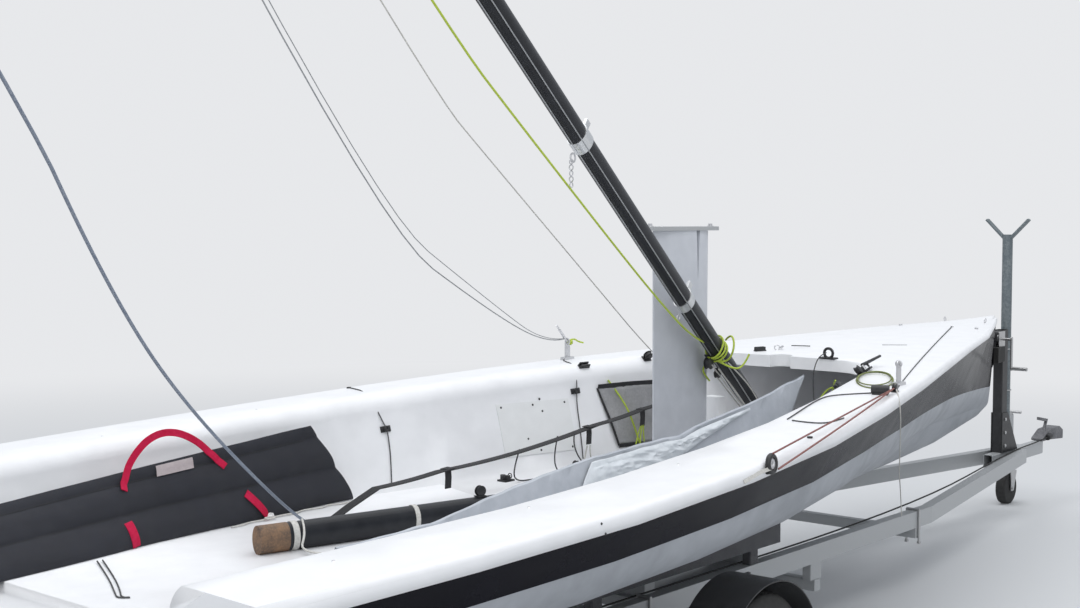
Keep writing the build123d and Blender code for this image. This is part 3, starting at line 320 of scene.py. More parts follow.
TONE_INPUTS = (
    ("Place", "NodeSocketVector", None),
    ("Colour", "NodeSocketColor", (0.8, 0.8, 0.8, 1)),
    ("Second Colour", "NodeSocketColor", (0.5, 0.5, 0.5, 1)),
    ("Scale", "NodeSocketFloat", 8.0),
    ("Roughness", "NodeSocketFloat", 0.4),
    ("Spread", "NodeSocketFloat", 0.1),
)
TONE_OUTPUTS = (("Colour", "NodeSocketColor"), ("Roughness", "NodeSocketFloat"))


def node(tree, kind, **values):
    """New node with its properties and input values set."""
    made = tree.nodes.new(kind)
    for label, value in values.items():
        if hasattr(made, label):
            setattr(made, label, value)
        else:
            made.inputs[label.replace("_", " ").title()].default_value = value
    return made


def tone_group(name, cells):
    """Two colours mixed by soft patches, or by the cells of zinc spangle."""
    group, start, end = new_group(name, TONE_INPUTS, TONE_OUTPUTS)
    link = group.links.new
    large = node(group, "ShaderNodeTexNoise", detail=3.0)
    if cells:
        small = node(group, "ShaderNodeTexVoronoi")
        value = small.outputs["Color"]
    else:
        small = node(group, "ShaderNodeTexNoise", detail=6.0)
        value = small.outputs["Fac"]
    fine = node(group, "ShaderNodeMath", operation="MULTIPLY")
    fine.inputs[1].default_value = 6.0 if not cells else 10.0
    link(start.outputs["Scale"], fine.inputs[0])
    link(start.outputs["Scale"], large.inputs["Scale"])
    link(fine.outputs[0], small.inputs["Scale"])
    link(start.outputs["Place"], large.inputs["Vector"])
    link(start.outputs["Place"], small.inputs["Vector"])
    both = node(group, "ShaderNodeMath", operation="MULTIPLY")
    link(large.outputs["Fac"], both.inputs[0])
    link(value, both.inputs[1])
    spread = node(group, "ShaderNodeMapRange")
    spread.inputs["From Min"].default_value = 0.12
    spread.inputs["From Max"].default_value = 0.42
    link(both.outputs[0], spread.inputs["Value"])
    mix = node(group, "ShaderNodeMix", data_type="RGBA")
    link(spread.outputs["Result"], mix.inputs["Factor"])
    link(start.outputs["Colour"], mix.inputs["A"])
    link(start.outputs["Second Colour"], mix.inputs["B"])
    link(mix.outputs["Result"], end.inputs["Colour"])
    rough = node(group, "ShaderNodeMath", operation="MULTIPLY_ADD")
    link(spread.outputs["Result"], rough.inputs[0])
    link(start.outputs["Spread"], rough.inputs[1])
    link(start.outputs["Roughness"], rough.inputs[2])
    link(rough.outputs[0], end.inputs["Roughness"])
    return group


def relief_group():
    """Fine uneven height from a noise."""
    inputs = (("Place", "NodeSocketVector", None), ("Scale", "NodeSocketFloat", 100.0))
    group, start, end = new_group("uneven_relief", inputs, (("Height", "NodeSocketFloat"),))
    link = group.links.new
    grain = node(group, "ShaderNodeTexNoise", detail=4.0)
    link(start.outputs["Place"], grain.inputs["Vector"])
    link(start.outputs["Scale"], grain.inputs["Scale"])
    link(grain.outputs["Fac"], end.inputs["Height"])
    return group


def weave_group():
    """Height of plain woven cloth from two crossed bands."""
    inputs = (("Place", "NodeSocketVector", None), ("Scale", "NodeSocketFloat", 300.0))
    group, start, end = new_group("plain_weave", inputs, (("Height", "NodeSocketFloat"),))
    link = group.links.new
    total = node(group, "ShaderNodeMath", operation="MAXIMUM")
    for i, direction in enumerate(("X", "Z")):
        bands = node(group, "ShaderNodeTexWave", bands_direction=direction, distortion=0.6)
        link(start.outputs["Place"], bands.inputs["Vector"])
        link(start.outputs["Scale"], bands.inputs["Scale"])
        link(bands.outputs["Fac"], total.inputs[i])
    link(total.outputs[0], end.inputs["Height"])
    return group


# Height of the paint line in the frame, at distances from the transom
PAINT_LINE = (
    (0.0, 0.800), (1.2, 0.830), (2.4, 0.870), (3.6, 0.903), (4.8, 0.888), (5.7, 0.846), (6.43, 0.790),
)
PAINT_RANGE = (0.70, 1.0)


def paint_line_group():
    """Mask that is 1 above the line where the bottom paint meets the topsides."""
    inputs = (("Place", "NodeSocketVector", None), ("Lift", "NodeSocketFloat", 0.0))
    group, start, end = new_group("bottom_paint_line", inputs, (("Mask", "NodeSocketFloat"),))
    link = group.links.new
    parts = node(group, "ShaderNodeSeparateXYZ")
    link(start.outputs["Place"], parts.inputs[0])
    along = node(group, "ShaderNodeMapRange")
    along.inputs["From Min"].default_value = TRANSOM
    along.inputs["From Max"].default_value = TRANSOM + PAINT_LINE[-1][0]
    link(parts.outputs["X"], along.inputs["Value"])
    curve = node(group, "ShaderNodeFloatCurve")
    points = curve.mapping.curves[0].points
    low, high = PAINT_RANGE
    for i, (x, z) in enumerate(PAINT_LINE):
        share = (x / PAINT_LINE[-1][0], (z - low) / (high - low))
        if i == 0:
            points[0].location = share
        elif i == len(PAINT_LINE) - 1:
            points[-1].location = share
        else:
            points.new(*share)
    curve.mapping.update()
    link(along.outputs["Result"], curve.inputs["Value"])
    height = node(group, "ShaderNodeMath", operation="MULTIPLY_ADD")
    height.inputs[1].default_value = high - low
    height.inputs[2].default_value = low
    link(curve.outputs["Value"], height.inputs[0])
    lifted = node(group, "ShaderNodeMath", operation="ADD")
    link(height.outputs[0], lifted.inputs[0])
    link(start.outputs["Lift"], lifted.inputs[1])
    above = node(group, "ShaderNodeMath", operation="GREATER_THAN")
    link(parts.outputs["Z"], above.inputs[0])
    link(lifted.outputs[0], above.inputs[1])
    link(above.outputs[0], end.inputs["Mask"])
    return group


GROUPS = {}


def group_named(name):
    """Shared node group, built the first time that it is asked for."""
    makers = {
        "soft_patches": (tone_group, "soft_patches", False),
        "zinc_spangle": (tone_group, "zinc_spangle", True),
        "uneven_relief": (relief_group,),
        "plain_weave": (weave_group,),
        "bottom_paint_line": (paint_line_group,),
    }
    if name not in GROUPS:
        maker, *values = makers[name]
        GROUPS[name] = maker(*values)
    return GROUPS[name]


def place_group(tree, name, **values):
    """Group node in a material, with its values set and fed object coordinates."""
    made = tree.nodes.new("ShaderNodeGroup")
    made.node_tree = group_named(name)
    for label, value in values.items():
        socket = made.inputs[label.replace("_", " ")]
        socket.default_value = (*value, 1) if isinstance(value, tuple) else value
    coordinates = tree.nodes.get("Object place") or tree.nodes.new("ShaderNodeTexCoord")
    coordinates.name = "Object place"
    tree.links.new(coordinates.outputs["Object"], made.inputs["Place"])
    return made


ROPE_LAY = ("uneven_relief", 700, 0.0006)


def look(colour, second, patches, rough, spread=0.1, pattern="soft_patches", relief=ROPE_LAY, **sockets):
    """Two colours and the scale of their patches, roughness, relief and shader values."""
    return colour, second, patches, rough, spread, pattern, relief, sockets


# Relief is its kind, scale and depth in metres
FINISHES = {
    "deck_white": look(
        (0.84, 0.845, 0.86), (0.77, 0.775, 0.79), patches=1.6, rough=0.30, spread=0.12,
        relief=("uneven_relief", 260, 0.00012), Specular_IOR_Level=0.4,
    ),
    "fin_grey": look(
        (0.58, 0.60, 0.64), (0.52, 0.54, 0.58), patches=2.6, rough=0.42, spread=0.12,
        relief=("uneven_relief", 60, 0.0002),
    ),
    "bulb_grey": look(
        (0.40, 0.42, 0.45), (0.33, 0.34, 0.37), patches=3.0, rough=0.45, spread=0.12,
        relief=("uneven_relief", 60, 0.0003),
    ),
    "galvanised": look(
        (0.40, 0.41, 0.42), (0.27, 0.28, 0.29), patches=5.0, rough=0.48, spread=0.15,
        pattern="zinc_spangle", relief=("uneven_relief", 140, 0.0004), Metallic=0.7,
    ),
    "zinc": look(
        (0.62, 0.62, 0.60), (0.48, 0.48, 0.46), patches=9.0, rough=0.32, spread=0.15,
        relief=("uneven_relief", 300, 0.0001), Metallic=0.9,
    ),
    "stainless": look(
        (0.66, 0.67, 0.68), (0.52, 0.53, 0.54), patches=14.0, rough=0.24, spread=0.15,
        relief=("uneven_relief", 500, 0.00005), Metallic=1.0,
    ),
    "alloy": look(
        (0.70, 0.71, 0.72), (0.55, 0.56, 0.57), patches=14.0, rough=0.34, spread=0.15,
        relief=("uneven_relief", 400, 0.0001), Metallic=1.0,
    ),
    "carbon": look(
        (0.010, 0.011, 0.014), (0.021, 0.023, 0.028), patches=3.5, rough=0.30, spread=0.14,
        relief=("plain_weave", 220, 0.00008), Specular_IOR_Level=0.3,
    ),
    "wire": look(
        (0.42, 0.43, 0.44), (0.30, 0.31, 0.32), patches=90.0, rough=0.35,
        relief=("uneven_relief", 900, 0.0002), Metallic=0.9,
    ),
    "webbing_black": look(
        (0.016, 0.016, 0.018), (0.035, 0.035, 0.038), patches=20.0, rough=0.75,
        relief=("plain_weave", 700, 0.0004),
    ),
    "webbing_red": look(
        (0.55, 0.006, 0.050), (0.66, 0.020, 0.085), patches=14.0, rough=0.66,
        relief=("plain_weave", 700, 0.0004), Specular_IOR_Level=0.2,
    ),
    "mesh_grey": look(
        (0.34, 0.34, 0.35), (0.46, 0.46, 0.47), patches=16.0, rough=0.6, spread=0.15,
        relief=("plain_weave", 420, 0.0006),
    ),
    "fitting_black": look(
        (0.014, 0.014, 0.015), (0.030, 0.030, 0.032), patches=26.0, rough=0.36, spread=0.16,
        relief=("uneven_relief", 500, 0.0001),
    ),
    "bag_charcoal": look(
        (0.010, 0.011, 0.018), (0.018, 0.020, 0.030), patches=7.0, rough=0.72, spread=0.12,
        relief=("plain_weave", 520, 0.0004), Sheen_Weight=0.05,
    ),
    "film_grey": look(
        (0.37, 0.395, 0.435), (0.46, 0.485, 0.525), patches=3.4, rough=0.34, spread=0.2,
        relief=("uneven_relief", 26, 0.0012), Specular_IOR_Level=0.4,
    ),
    # Same film as film_grey, drawn lighter for the crumpled layer: painted highlight on its creases
    "film_painted_highlight": look(
        (0.52, 0.555, 0.585), (0.64, 0.67, 0.70), patches=5.0, rough=0.36, spread=0.2,
        relief=("uneven_relief", 34, 0.0014), Specular_IOR_Level=0.4,
    ),
    "hatch_grey": look(
        (0.79, 0.80, 0.80), (0.74, 0.75, 0.75), patches=3.0, rough=0.42,
        relief=("uneven_relief", 260, 0.00014),
    ),
    # Galvanised steel of the trailer's mast pole, drawn darker than the other galvanised parts: painted
    # shade of the shadow that the pole stands in
    "galvanised_painted_shade": look(
        (0.13, 0.155, 0.17), (0.20, 0.225, 0.235), patches=9.0, rough=0.5, spread=0.15,
        pattern="zinc_spangle", relief=("uneven_relief", 140, 0.0003), Metallic=0.4,
    ),
    "cast_grey": look(
        (0.22, 0.22, 0.23), (0.13, 0.13, 0.14), patches=12.0, rough=0.55, spread=0.15,
        relief=("uneven_relief", 220, 0.0006), Metallic=0.6,
    ),
    "rubber": look(
        (0.018, 0.018, 0.018), (0.040, 0.039, 0.037), patches=9.0, rough=0.78, spread=0.12,
        relief=("uneven_relief", 300, 0.0003),
    ),
    "carpet": look(
        (0.045, 0.046, 0.052), (0.085, 0.086, 0.092), patches=30.0, rough=0.95, spread=0.03,
        relief=("uneven_relief", 800, 0.0015), Sheen_Weight=0.3,
    ),
    "board_white": look(
        (0.74, 0.74, 0.72), (0.62, 0.61, 0.58), patches=4.0, rough=0.45, spread=0.15,
        relief=("uneven_relief", 90, 0.0002),
    ),
    "lens_red": look(
        (0.38, 0.008, 0.012), (0.50, 0.03, 0.03), patches=30.0, rough=0.18,
        relief=("plain_weave", 160, 0.0003),
    ),
    "lens_amber": look(
        (0.72, 0.20, 0.01), (0.80, 0.28, 0.03), patches=30.0, rough=0.18,
        relief=("plain_weave", 160, 0.0003),
    ),
    "patch_pale": look(
        (0.42, 0.36, 0.37), (0.52, 0.46, 0.46), patches=40.0, rough=0.6,
        relief=("plain_weave", 500, 0.0002),
    ),
    "rope_olive": look((0.22, 0.26, 0.07), (0.09, 0.10, 0.04), patches=120.0, rough=0.7),
    "rope_lime": look((0.50, 0.62, 0.05), (0.32, 0.42, 0.06), patches=110.0, rough=0.6),
    "rope_red_brown": look((0.16, 0.050, 0.045), (0.30, 0.14, 0.12), patches=140.0, rough=0.7),
    "rope_blue_grey": look(
        (0.13, 0.16, 0.22), (0.30, 0.33, 0.38), patches=130.0, rough=0.7,
        relief=("uneven_relief", 600, 0.0008),
    ),
    "rope_white": look((0.62, 0.61, 0.58), (0.44, 0.43, 0.40), patches=120.0, rough=0.7),
    "rope_dark": look((0.030, 0.030, 0.034), (0.12, 0.12, 0.12), patches=150.0, rough=0.7),
    "wrap_tan": look(
        (0.26, 0.15, 0.08), (0.09, 0.065, 0.05), patches=22.0, rough=0.55,
        relief=("plain_weave", 300, 0.0003),
    ),
}


def finish(name):
    """Material for one of the finishes, made once."""
    known = bpy.data.materials.get(name)
    if known:
        return known
    colour, second, scale, rough, spread, pattern, relief, sockets = FINISHES[name]
    material = bpy.data.materials.new(name)
    material.use_nodes = True
    tree = material.node_tree
    shader = tree.nodes["Principled BSDF"]
    tone = place_group(
        tree, pattern, Colour=colour, Second_Colour=second, Scale=scale,
        Roughness=rough, Spread=spread,
    )
    tree.links.new(tone.outputs["Colour"], shader.inputs["Base Color"])
    tree.links.new(tone.outputs["Roughness"], shader.inputs["Roughness"])
    kind, relief_scale, depth = relief
    height = place_group(tree, kind, Scale=float(relief_scale))
    bump = tree.nodes.new("ShaderNodeBump")
    bump.inputs["Distance"].default_value = depth
    tree.links.new(height.outputs["Height"], bump.inputs["Height"])
    tree.links.new(bump.outputs["Normal"], shader.inputs["Normal"])
    for label, value in sockets.items():
        shader.inputs[label.replace("_", " ")].default_value = value
    return material


def settle_black(name, shape):
    """Turns a shape into black plastic fittings of the boat."""
    return settle(name, shape, BOAT, finish("fitting_black"))


def settle_steel(name, shape):
    """Turns a shape into stainless fittings of the boat."""
    return settle(name, shape, BOAT, finish("stainless"))


def hull_finish(black, bottom):
    """Gloss black topsides over a light grey bottom, parted by the paint line."""
    material = bpy.data.materials.new("topside_black")
    material.use_nodes = True
    tree = material.node_tree
    link = tree.links.new
    shader = tree.nodes["Principled BSDF"]
    mask = place_group(tree, "bottom_paint_line", Lift=0.0)
    upper = place_group(
        tree, "soft_patches", Colour=black, Second_Colour=tuple(c * 1.6 for c in black),
        Scale=1.2, Roughness=0.20, Spread=0.10,
    )
    lower = place_group(
        tree, "soft_patches", Colour=bottom, Second_Colour=tuple(c * 0.8 for c in bottom),
        Scale=1.8, Roughness=0.34, Spread=0.14,
    )
    for label, socket in (("Colour", "Base Color"), ("Roughness", "Roughness")):
        mix = node(tree, "ShaderNodeMix", data_type="RGBA" if label == "Colour" else "FLOAT")
        link(mask.outputs["Mask"], mix.inputs["Factor"])
        ends = [s for s in mix.inputs if s.name in "AB" and s.enabled]
        link(lower.outputs[label], ends[0])
        link(upper.outputs[label], ends[1])
        link(next(s for s in mix.outputs if s.enabled), shader.inputs[socket])
    fair = place_group(tree, "uneven_relief", Scale=2.2)
    bump = tree.nodes.new("ShaderNodeBump")
    bump.inputs["Distance"].default_value = 0.0012
    link(fair.outputs["Height"], bump.inputs["Height"])
    link(bump.outputs["Normal"], shader.inputs["Normal"])
    shader.inputs["Specular IOR Level"].default_value = 0.035
    return material


NODE_FINISH = {
    "deck_white": ["deck_moulding", "keel_trunk"],
    "fin_grey": ["keel_fin", "rudder_blade"],
    "bulb_grey": ["keel_bulb"],
    "galvanised": [
        "keel_head_bar", "rail_port", "rail_starboard", "cross_members", "keel_cross_members",
        "drawbar", "axle", "keel_chock", "jockey_clamp", "rim_port", "rim_starboard",
    ],
    # The mast pole takes the darker copy of galvanised: painted shade
    "galvanised_painted_shade": ["mast_pole"],
    "zinc": ["winch_frame", "winch_drum", "jockey_leg", "jockey_fork"],
    "stainless": ["mast_step", "chainplate_port", "chainplate_starboard", "rudder_gudgeons"],
    "alloy": ["mast_heel", "mast_collars", "masthead_crane", "rudder_head"],
    "carbon": ["mast_tube", "spreaders", "tiller", "tiller_extension", "bowsprit", "boom"],
    "wire": ["lashed_stays"],
    "fitting_black": [
        "mainsheet_base", "bowsprit_ring", "mudguard_port", "mudguard_starboard", "winch_post",
    ],
    "cast_grey": ["coupling"],
    "rubber": ["bow_snubber", "jockey_wheel"],
    "carpet": ["bunk_port", "bunk_starboard"],
    "board_white": ["light_board"],
}


class BoatColours(bpy.types.PropertyGroup):
    """Colours that a user would change."""

    topside: bpy.props.FloatVectorProperty(
        name="Topsides", description="Colour of the gloss hull sides", subtype="COLOR",
        size=3, min=0, max=1, default=(0.004, 0.004, 0.007),
    )
    bottom: bpy.props.FloatVectorProperty(
        name="Bottom", description="Colour of the hull below the paint line", subtype="COLOR",
        size=3, min=0, max=1, default=(0.40, 0.42, 0.45),
    )
    backdrop: bpy.props.FloatVectorProperty(
        name="Backdrop", description="Colour of the floor and background", subtype="COLOR",
        size=3, min=0, max=1, default=(0.80, 0.81, 0.83),
    )


class BoatSizes(bpy.types.PropertyGroup):
    """Sizes of the dressing that a user would change."""

    line_radius: bpy.props.FloatProperty(
        name="Control line radius", description="Radius of the thin control lines",
        default=0.0025, min=0.001, max=0.01, unit="LENGTH",
    )
    sheet_radius: bpy.props.FloatProperty(
        name="Sheet radius", description="Radius of the sheets and halyards",
        default=0.004, min=0.001, max=0.01, unit="LENGTH",
    )
    webbing_width: bpy.props.FloatProperty(
        name="Strap width", description="Width of the toe strap webbing",
        default=0.044, min=0.02, max=0.08, unit="LENGTH",
    )
    crumple: bpy.props.FloatProperty(
        name="Sail crumple", description="Depth of the creases in the folded sail",
        default=0.012, min=0.0, max=0.03, unit="LENGTH",
    )


class KEELBOAT_OT_finishes(bpy.types.Operator):
    """Give every carried-over CAD node its finish"""

    bl_idname = "keelboat.finishes"
    bl_label = "Finish the solid parts"

    # Nodes whose long curves need smooth shading: node, its copy and its slot
    FAIRED = (
        ("hull", "hull_shell", "topside_gelcoat"),
        ("deck_moulding", "deck_shell", "deck_gelcoat"),
    )

    def execute(self, context):
        colours = context.scene.boat_colours
        painted = {"hull": hull_finish(tuple(colours.topside), tuple(colours.bottom))}
        for name, nodes in NODE_FINISH.items():
            painted.update({each: finish(name) for each in nodes})
        for each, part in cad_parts.items():
            material = painted.get(each) or finish("fitting_black")
            part.data.materials.clear()
            part.data.materials.append(material)
        for each, name, slot in self.FAIRED:
            fair = bmesh.new()
            fair.from_mesh(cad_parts[each].data)
            settle(name, fair, BOAT, painted[each], replaces=(each,), crease=26)
        return {"FINISHED"}


# Fittings


def add_fairlead(shape, where):
    """Closed bullseye with a flange and two screws."""
    add_block(shape, where, (0.050, 0.026, 0.006), (0, 0, 0.003))
    add_ring(shape, where, 0.009, 0.005, (0, 0, 0.010), steps=18)
    for side in (-1, 1):
        add_round(shape, where, 0.0035, 0.003, (side * 0.019, 0, 0.007), segments=10)


def add_jam_cleat(shape, where):
    """Tapered jamming cleat: base with two ribbed cheeks."""
    add_block(shape, where, (0.058, 0.024, 0.006), (0, 0, 0.003))
    for side in (-1, 1):
        add_block(shape, where, (0.052, 0.007, 0.016), (0, side * 0.0085, 0.013), bevel=0.002)


def add_cam_cleat(shape, where):
    """Two toothed cams on a base, with a wire fairlead ahead of them."""
    add_block(shape, where, (0.060, 0.050, 0.008), (0, 0, 0.004))
    for side in (-1, 1):
        cam = where @ Matrix.Translation((-0.004, side * 0.014, 0.018))
        add_round(shape, cam, 0.012, 0.018, segments=14)
        add_block(shape, cam @ Matrix.Rotation(side * 0.5, 4, "Z"), (0.026, 0.008, 0.016), (-0.012, 0, 0))
    add_ring(shape, where, 0.010, 0.0022, (0.026, 0, 0.020), around="X", steps=16, sides=6)


def add_cheek_block(shape, where, size=1.0):
    """Block on edge: two cheeks, a wheel between them and its base."""
    add_block(shape, where, (0.040 * size, 0.030 * size, 0.005), (0, 0, 0.0025))
    for side in (-1, 1):
        add_round(
            shape, where @ Matrix.Rotation(math.pi / 2, 4, "X"), 0.020 * size, 0.003,
            (0, 0.022 * size, side * 0.008 * size), segments=20,
        )
    add_round(
        shape, where @ Matrix.Rotation(math.pi / 2, 4, "X"), 0.016 * size, 0.012 * size,
        (0, 0.022 * size, 0), segments=18,
    )


def add_eye(shape, where):
    """Small ring that stands on its face."""
    add_ring(shape, where, 0.012, 0.003, (0, 0, 0.012), around="Y", steps=20, sides=6)


def add_screw(shape, where, radius=0.005):
    """Low domed screw head."""
    add_round(shape, where, radius, 0.002, (0, 0, 0.001), top=radius * 0.6, segments=12, bevel=0)


def deck_seat(x, y, along=(1, 0, 0)):
    """Frame on the deck at a place."""
    place, normal = on_deck(x, y)
    return seat(place, normal, along)


def tank_seat(x, z, side=1, along=(1, 0, 0)):
    """Frame on a tank face at a place."""
    place, normal = on_tank(x, z, side)
    return seat(place, normal, along)


def mirrored(place, side):
    """Place on deck with its y on one side of the boat."""
    return place[0], side * place[1]


class KEELBOAT_OT_deck_fittings(bpy.types.Operator):
    """Add the cleats, leads, blocks and eyes on deck and in the cockpit"""

    bl_idname = "keelboat.deck_fittings"
    bl_label = "Deck fittings"

    # Distance from the transom and height on the tank or the lip
    TANK_LEADS = ((2.275, 0.251), (3.298, 0.335))
    LIP_BLOCK = (1.955, 0.352)
    # Distance from the transom and y, for fittings that both sides have
    SIDE_JAM = (3.386, 0.668)
    TRUNK_BLOCK = (3.752, 0.575)
    SHEET_CLEAT = (2.740, 0.576)
    SHEET_BLOCK = (3.180, 0.545)
    SIDE_PLUG = (2.345, 1.135)
    FOREDECK_PLUG = (5.70, 0.225)
    FOREDECK_EYE = (6.05, 0.12)
    SIDE_SCREWS = ((0.35, 1.02), (1.05, 1.02), (1.75, 1.02))
    # Distance from the transom and y, for single fittings
    MAST_JAM = (4.150, 0.186)
    MAST_EYE = (4.223, 0.135)
    RING_BASE = (4.045, -0.247)
    CORNER_CLEAT = (3.80, -0.565)
    TURNING_BASE = (3.252, -0.920)
    EDGE_BLOCK = (3.345, -0.935)
    BOW_LEAD = (5.692, -0.087)
    SLOT = (4.707, -0.242)

    def execute(self, context):
        black = bmesh.new()
        steel = bmesh.new()
        for side in (1, -1):
            self.cleats(black, side)
        add_jam_cleat(black, deck_seat(*self.MAST_JAM, (1, -0.6, 0)))
        self.mast_ring(black)
        self.corner_cleat(black, steel)
        self.edge_blocks(black, steel)
        self.lip_block(black, steel)
        settle_black("deck_fittings_black", black)
        self.eyes(steel)
        settle_steel("deck_fittings_steel", steel)
        slot = bmesh.new()
        where = deck_seat(*self.SLOT, (0.6, -0.8, 0))
        add_block(slot, where, (0.120, 0.007, 0.0016), (0, 0, 0.0006), bevel=0)
        settle_black("foredeck_slot", slot)
        return {"FINISHED"}

    def cleats(self, black, side):
        """Leads, cleats and blocks that both sides have."""
        splay = (1, -side * 0.25, 0)
        for place in self.TANK_LEADS:
            add_fairlead(black, tank_seat(*place, side))
        add_jam_cleat(black, deck_seat(*mirrored(self.SIDE_JAM, side), splay))
        add_cheek_block(black, deck_seat(*mirrored(self.TRUNK_BLOCK, side), splay), 1.1)
        add_cam_cleat(black, deck_seat(*mirrored(self.SHEET_CLEAT, side)))
        add_cheek_block(black, deck_seat(*mirrored(self.SHEET_BLOCK, side)), 0.9)
        plug = deck_seat(*mirrored(self.SIDE_PLUG, side))
        add_round(black, plug, 0.010, 0.006, (0, 0, 0.002), segments=16)

    def mast_ring(self, black):
        """Ring on its base beside the mast."""
        base = deck_seat(*self.RING_BASE, (0, 1, 0))
        add_block(black, base, (0.080, 0.040, 0.007), (0, 0, 0.0035))
        add_ring(black, base, 0.022, 0.0065, (0, 0, 0.026), around="Y", steps=28, sides=10)

    def corner_cleat(self, black, steel):
        """Cam cleat at the cockpit's fore corner, with its lever on an arm."""
        corner = deck_seat(*self.CORNER_CLEAT, (0.3, -1, 0))
        add_cam_cleat(black, corner @ Matrix.Scale(1.15, 4))
        pivot = corner @ Vector((0.01, 0.0, 0.035))
        add_bar(black, pivot, at(3.965, -0.548, 0.522), 0.008, segments=14, top=0.006)
        add_bar(steel, corner @ Vector((0.01, 0.0, 0.01)), pivot, 0.006)

    def edge_blocks(self, black, steel):
        """Barrel, base and block where the sheets turn on the side deck."""
        add_bar(black, at(3.243, -0.888, 0.463), at(3.262, -0.952, 0.463), 0.017, segments=20)
        base = deck_seat(*self.TURNING_BASE, (0.3, -1, 0))
        add_block(black, base, (0.060, 0.024, 0.010), (0, 0, 0.004))
        block = deck_seat(*self.EDGE_BLOCK, (1, 0.2, 0))
        add_cheek_block(black, block, 0.8)
        add_ring(steel, block, 0.010, 0.0025, (0.03, 0, 0.012), around="Y", steps=18, sides=6)

    def lip_block(self, black, steel):
        """Ring block for the sheets on the deck's lip."""
        where = seat(*on_lip(*self.LIP_BLOCK), (1, 0, 0))
        add_block(black, where, (0.046, 0.034, 0.012), (0, 0, 0.005), bevel=0.004)
        middle = (0.0, 0.014, 0.012)
        add_ring(black, where, 0.025, 0.009, middle, steps=32, sides=10)
        add_ring(steel, where, 0.012, 0.006, middle, steps=24, sides=8)

    def eyes(self, steel):
        """Eyes, plugs, screws and the bow lead, all of stainless steel."""
        add_eye(steel, deck_seat(*self.MAST_EYE, (1, -1, 0)))
        add_bar(steel, at(4.235, 0.12, 0.505), at(4.275, 0.135, 0.507), 0.006)
        for side in (1, -1):
            plug = deck_seat(*mirrored(self.FOREDECK_PLUG, side))
            add_round(steel, plug, 0.010, 0.008, (0, 0, 0.004), segments=16)
            add_eye(steel, deck_seat(*mirrored(self.FOREDECK_EYE, side)))
            for place in self.SIDE_SCREWS:
                add_screw(steel, deck_seat(*mirrored(place, side)))
        add_round(steel, deck_seat(*self.BOW_LEAD), 0.009, 0.005, (0, 0, 0.001), segments=18)


def tank_patch(shape, side, x_range, z_range, columns, rows, lift, slant=0.0):
    """Grid that follows a tank face, raised by a lift that may vary over it."""
    made = bmesh.ops.create_grid(shape, x_segments=columns, y_segments=rows, size=0.5)
    for vert in made["verts"]:
        u, v = vert.co.x + 0.5, vert.co.y + 0.5
        x = x_range[0] + (x_range[1] - x_range[0]) * u
        z = z_range[0] + (z_range[1] - z_range[0]) * v
        raise_by = lift(u, v) if callable(lift) else lift
        vert.co = on_tank(x + slant * (1 - u) * (1 - v), z, side, raise_by)[0]
    return made["verts"]


def thicken(shape, depth):
    """Gives an open sheet a wall."""
    bmesh.ops.recalc_face_normals(shape, faces=shape.faces)
    bmesh.ops.solidify(shape, geom=list(shape.faces), thickness=depth)


class KEELBOAT_OT_tank_trim(bpy.types.Operator):
    """Add the hatch panels and the screws on the buoyancy tanks"""

    bl_idname = "keelboat.tank_trim"
    bl_label = "Tank trim"

    HATCH_X = (2.86, 3.25)
    HATCH_Z = (0.075, 0.305)
    # Distance from the transom and height of single screws
    TANK_SCREWS = ((3.096, 0.313), (3.100, 0.259), (2.998, 0.144))
    LIP_SCREWS = ((1.082, 0.320), (1.096, 0.291))

    def execute(self, context):
        panels = bmesh.new()
        screws = bmesh.new()
        x0, x1 = self.HATCH_X
        for side in (1, -1):
            tank_patch(panels, side, self.HATCH_X, self.HATCH_Z, 8, 6, 0.0032)
            for u in (0.06, 0.5, 0.94):
                for z in (0.09, 0.29):
                    self.raised_screw(screws, x0 + (x1 - x0) * u, z, side)
        bmesh.ops.recalc_face_normals(panels, faces=panels.faces)
        for face in panels.faces:
            if face.normal.z < 0:
                face.normal_flip()
        bmesh.ops.solidify(panels, geom=list(panels.faces), thickness=0.0034)
        settle("hatch_panels", panels, BOAT, finish("hatch_grey"))
        for x, z in self.TANK_SCREWS:
            self.raised_screw(screws, x, z)
        for x, z in self.LIP_SCREWS:
            add_screw(screws, seat(*on_lip(x, z)), 0.004)
        settle("tank_screws", screws, BOAT, finish("fitting_black"))
        return {"FINISHED"}

    def raised_screw(self, shape, x, z, side=1):
        """Screw on a tank face, proud of it by a panel's thickness."""
        add_screw(shape, tank_seat(x, z, side) @ Matrix.Translation((0, 0, 0.003)), 0.0055)


def deck_route(points, lift=0.004):
    """Route that lies on the deck through x, y places."""
    return [on_deck(x, y, lift)[0] for x, y in points]


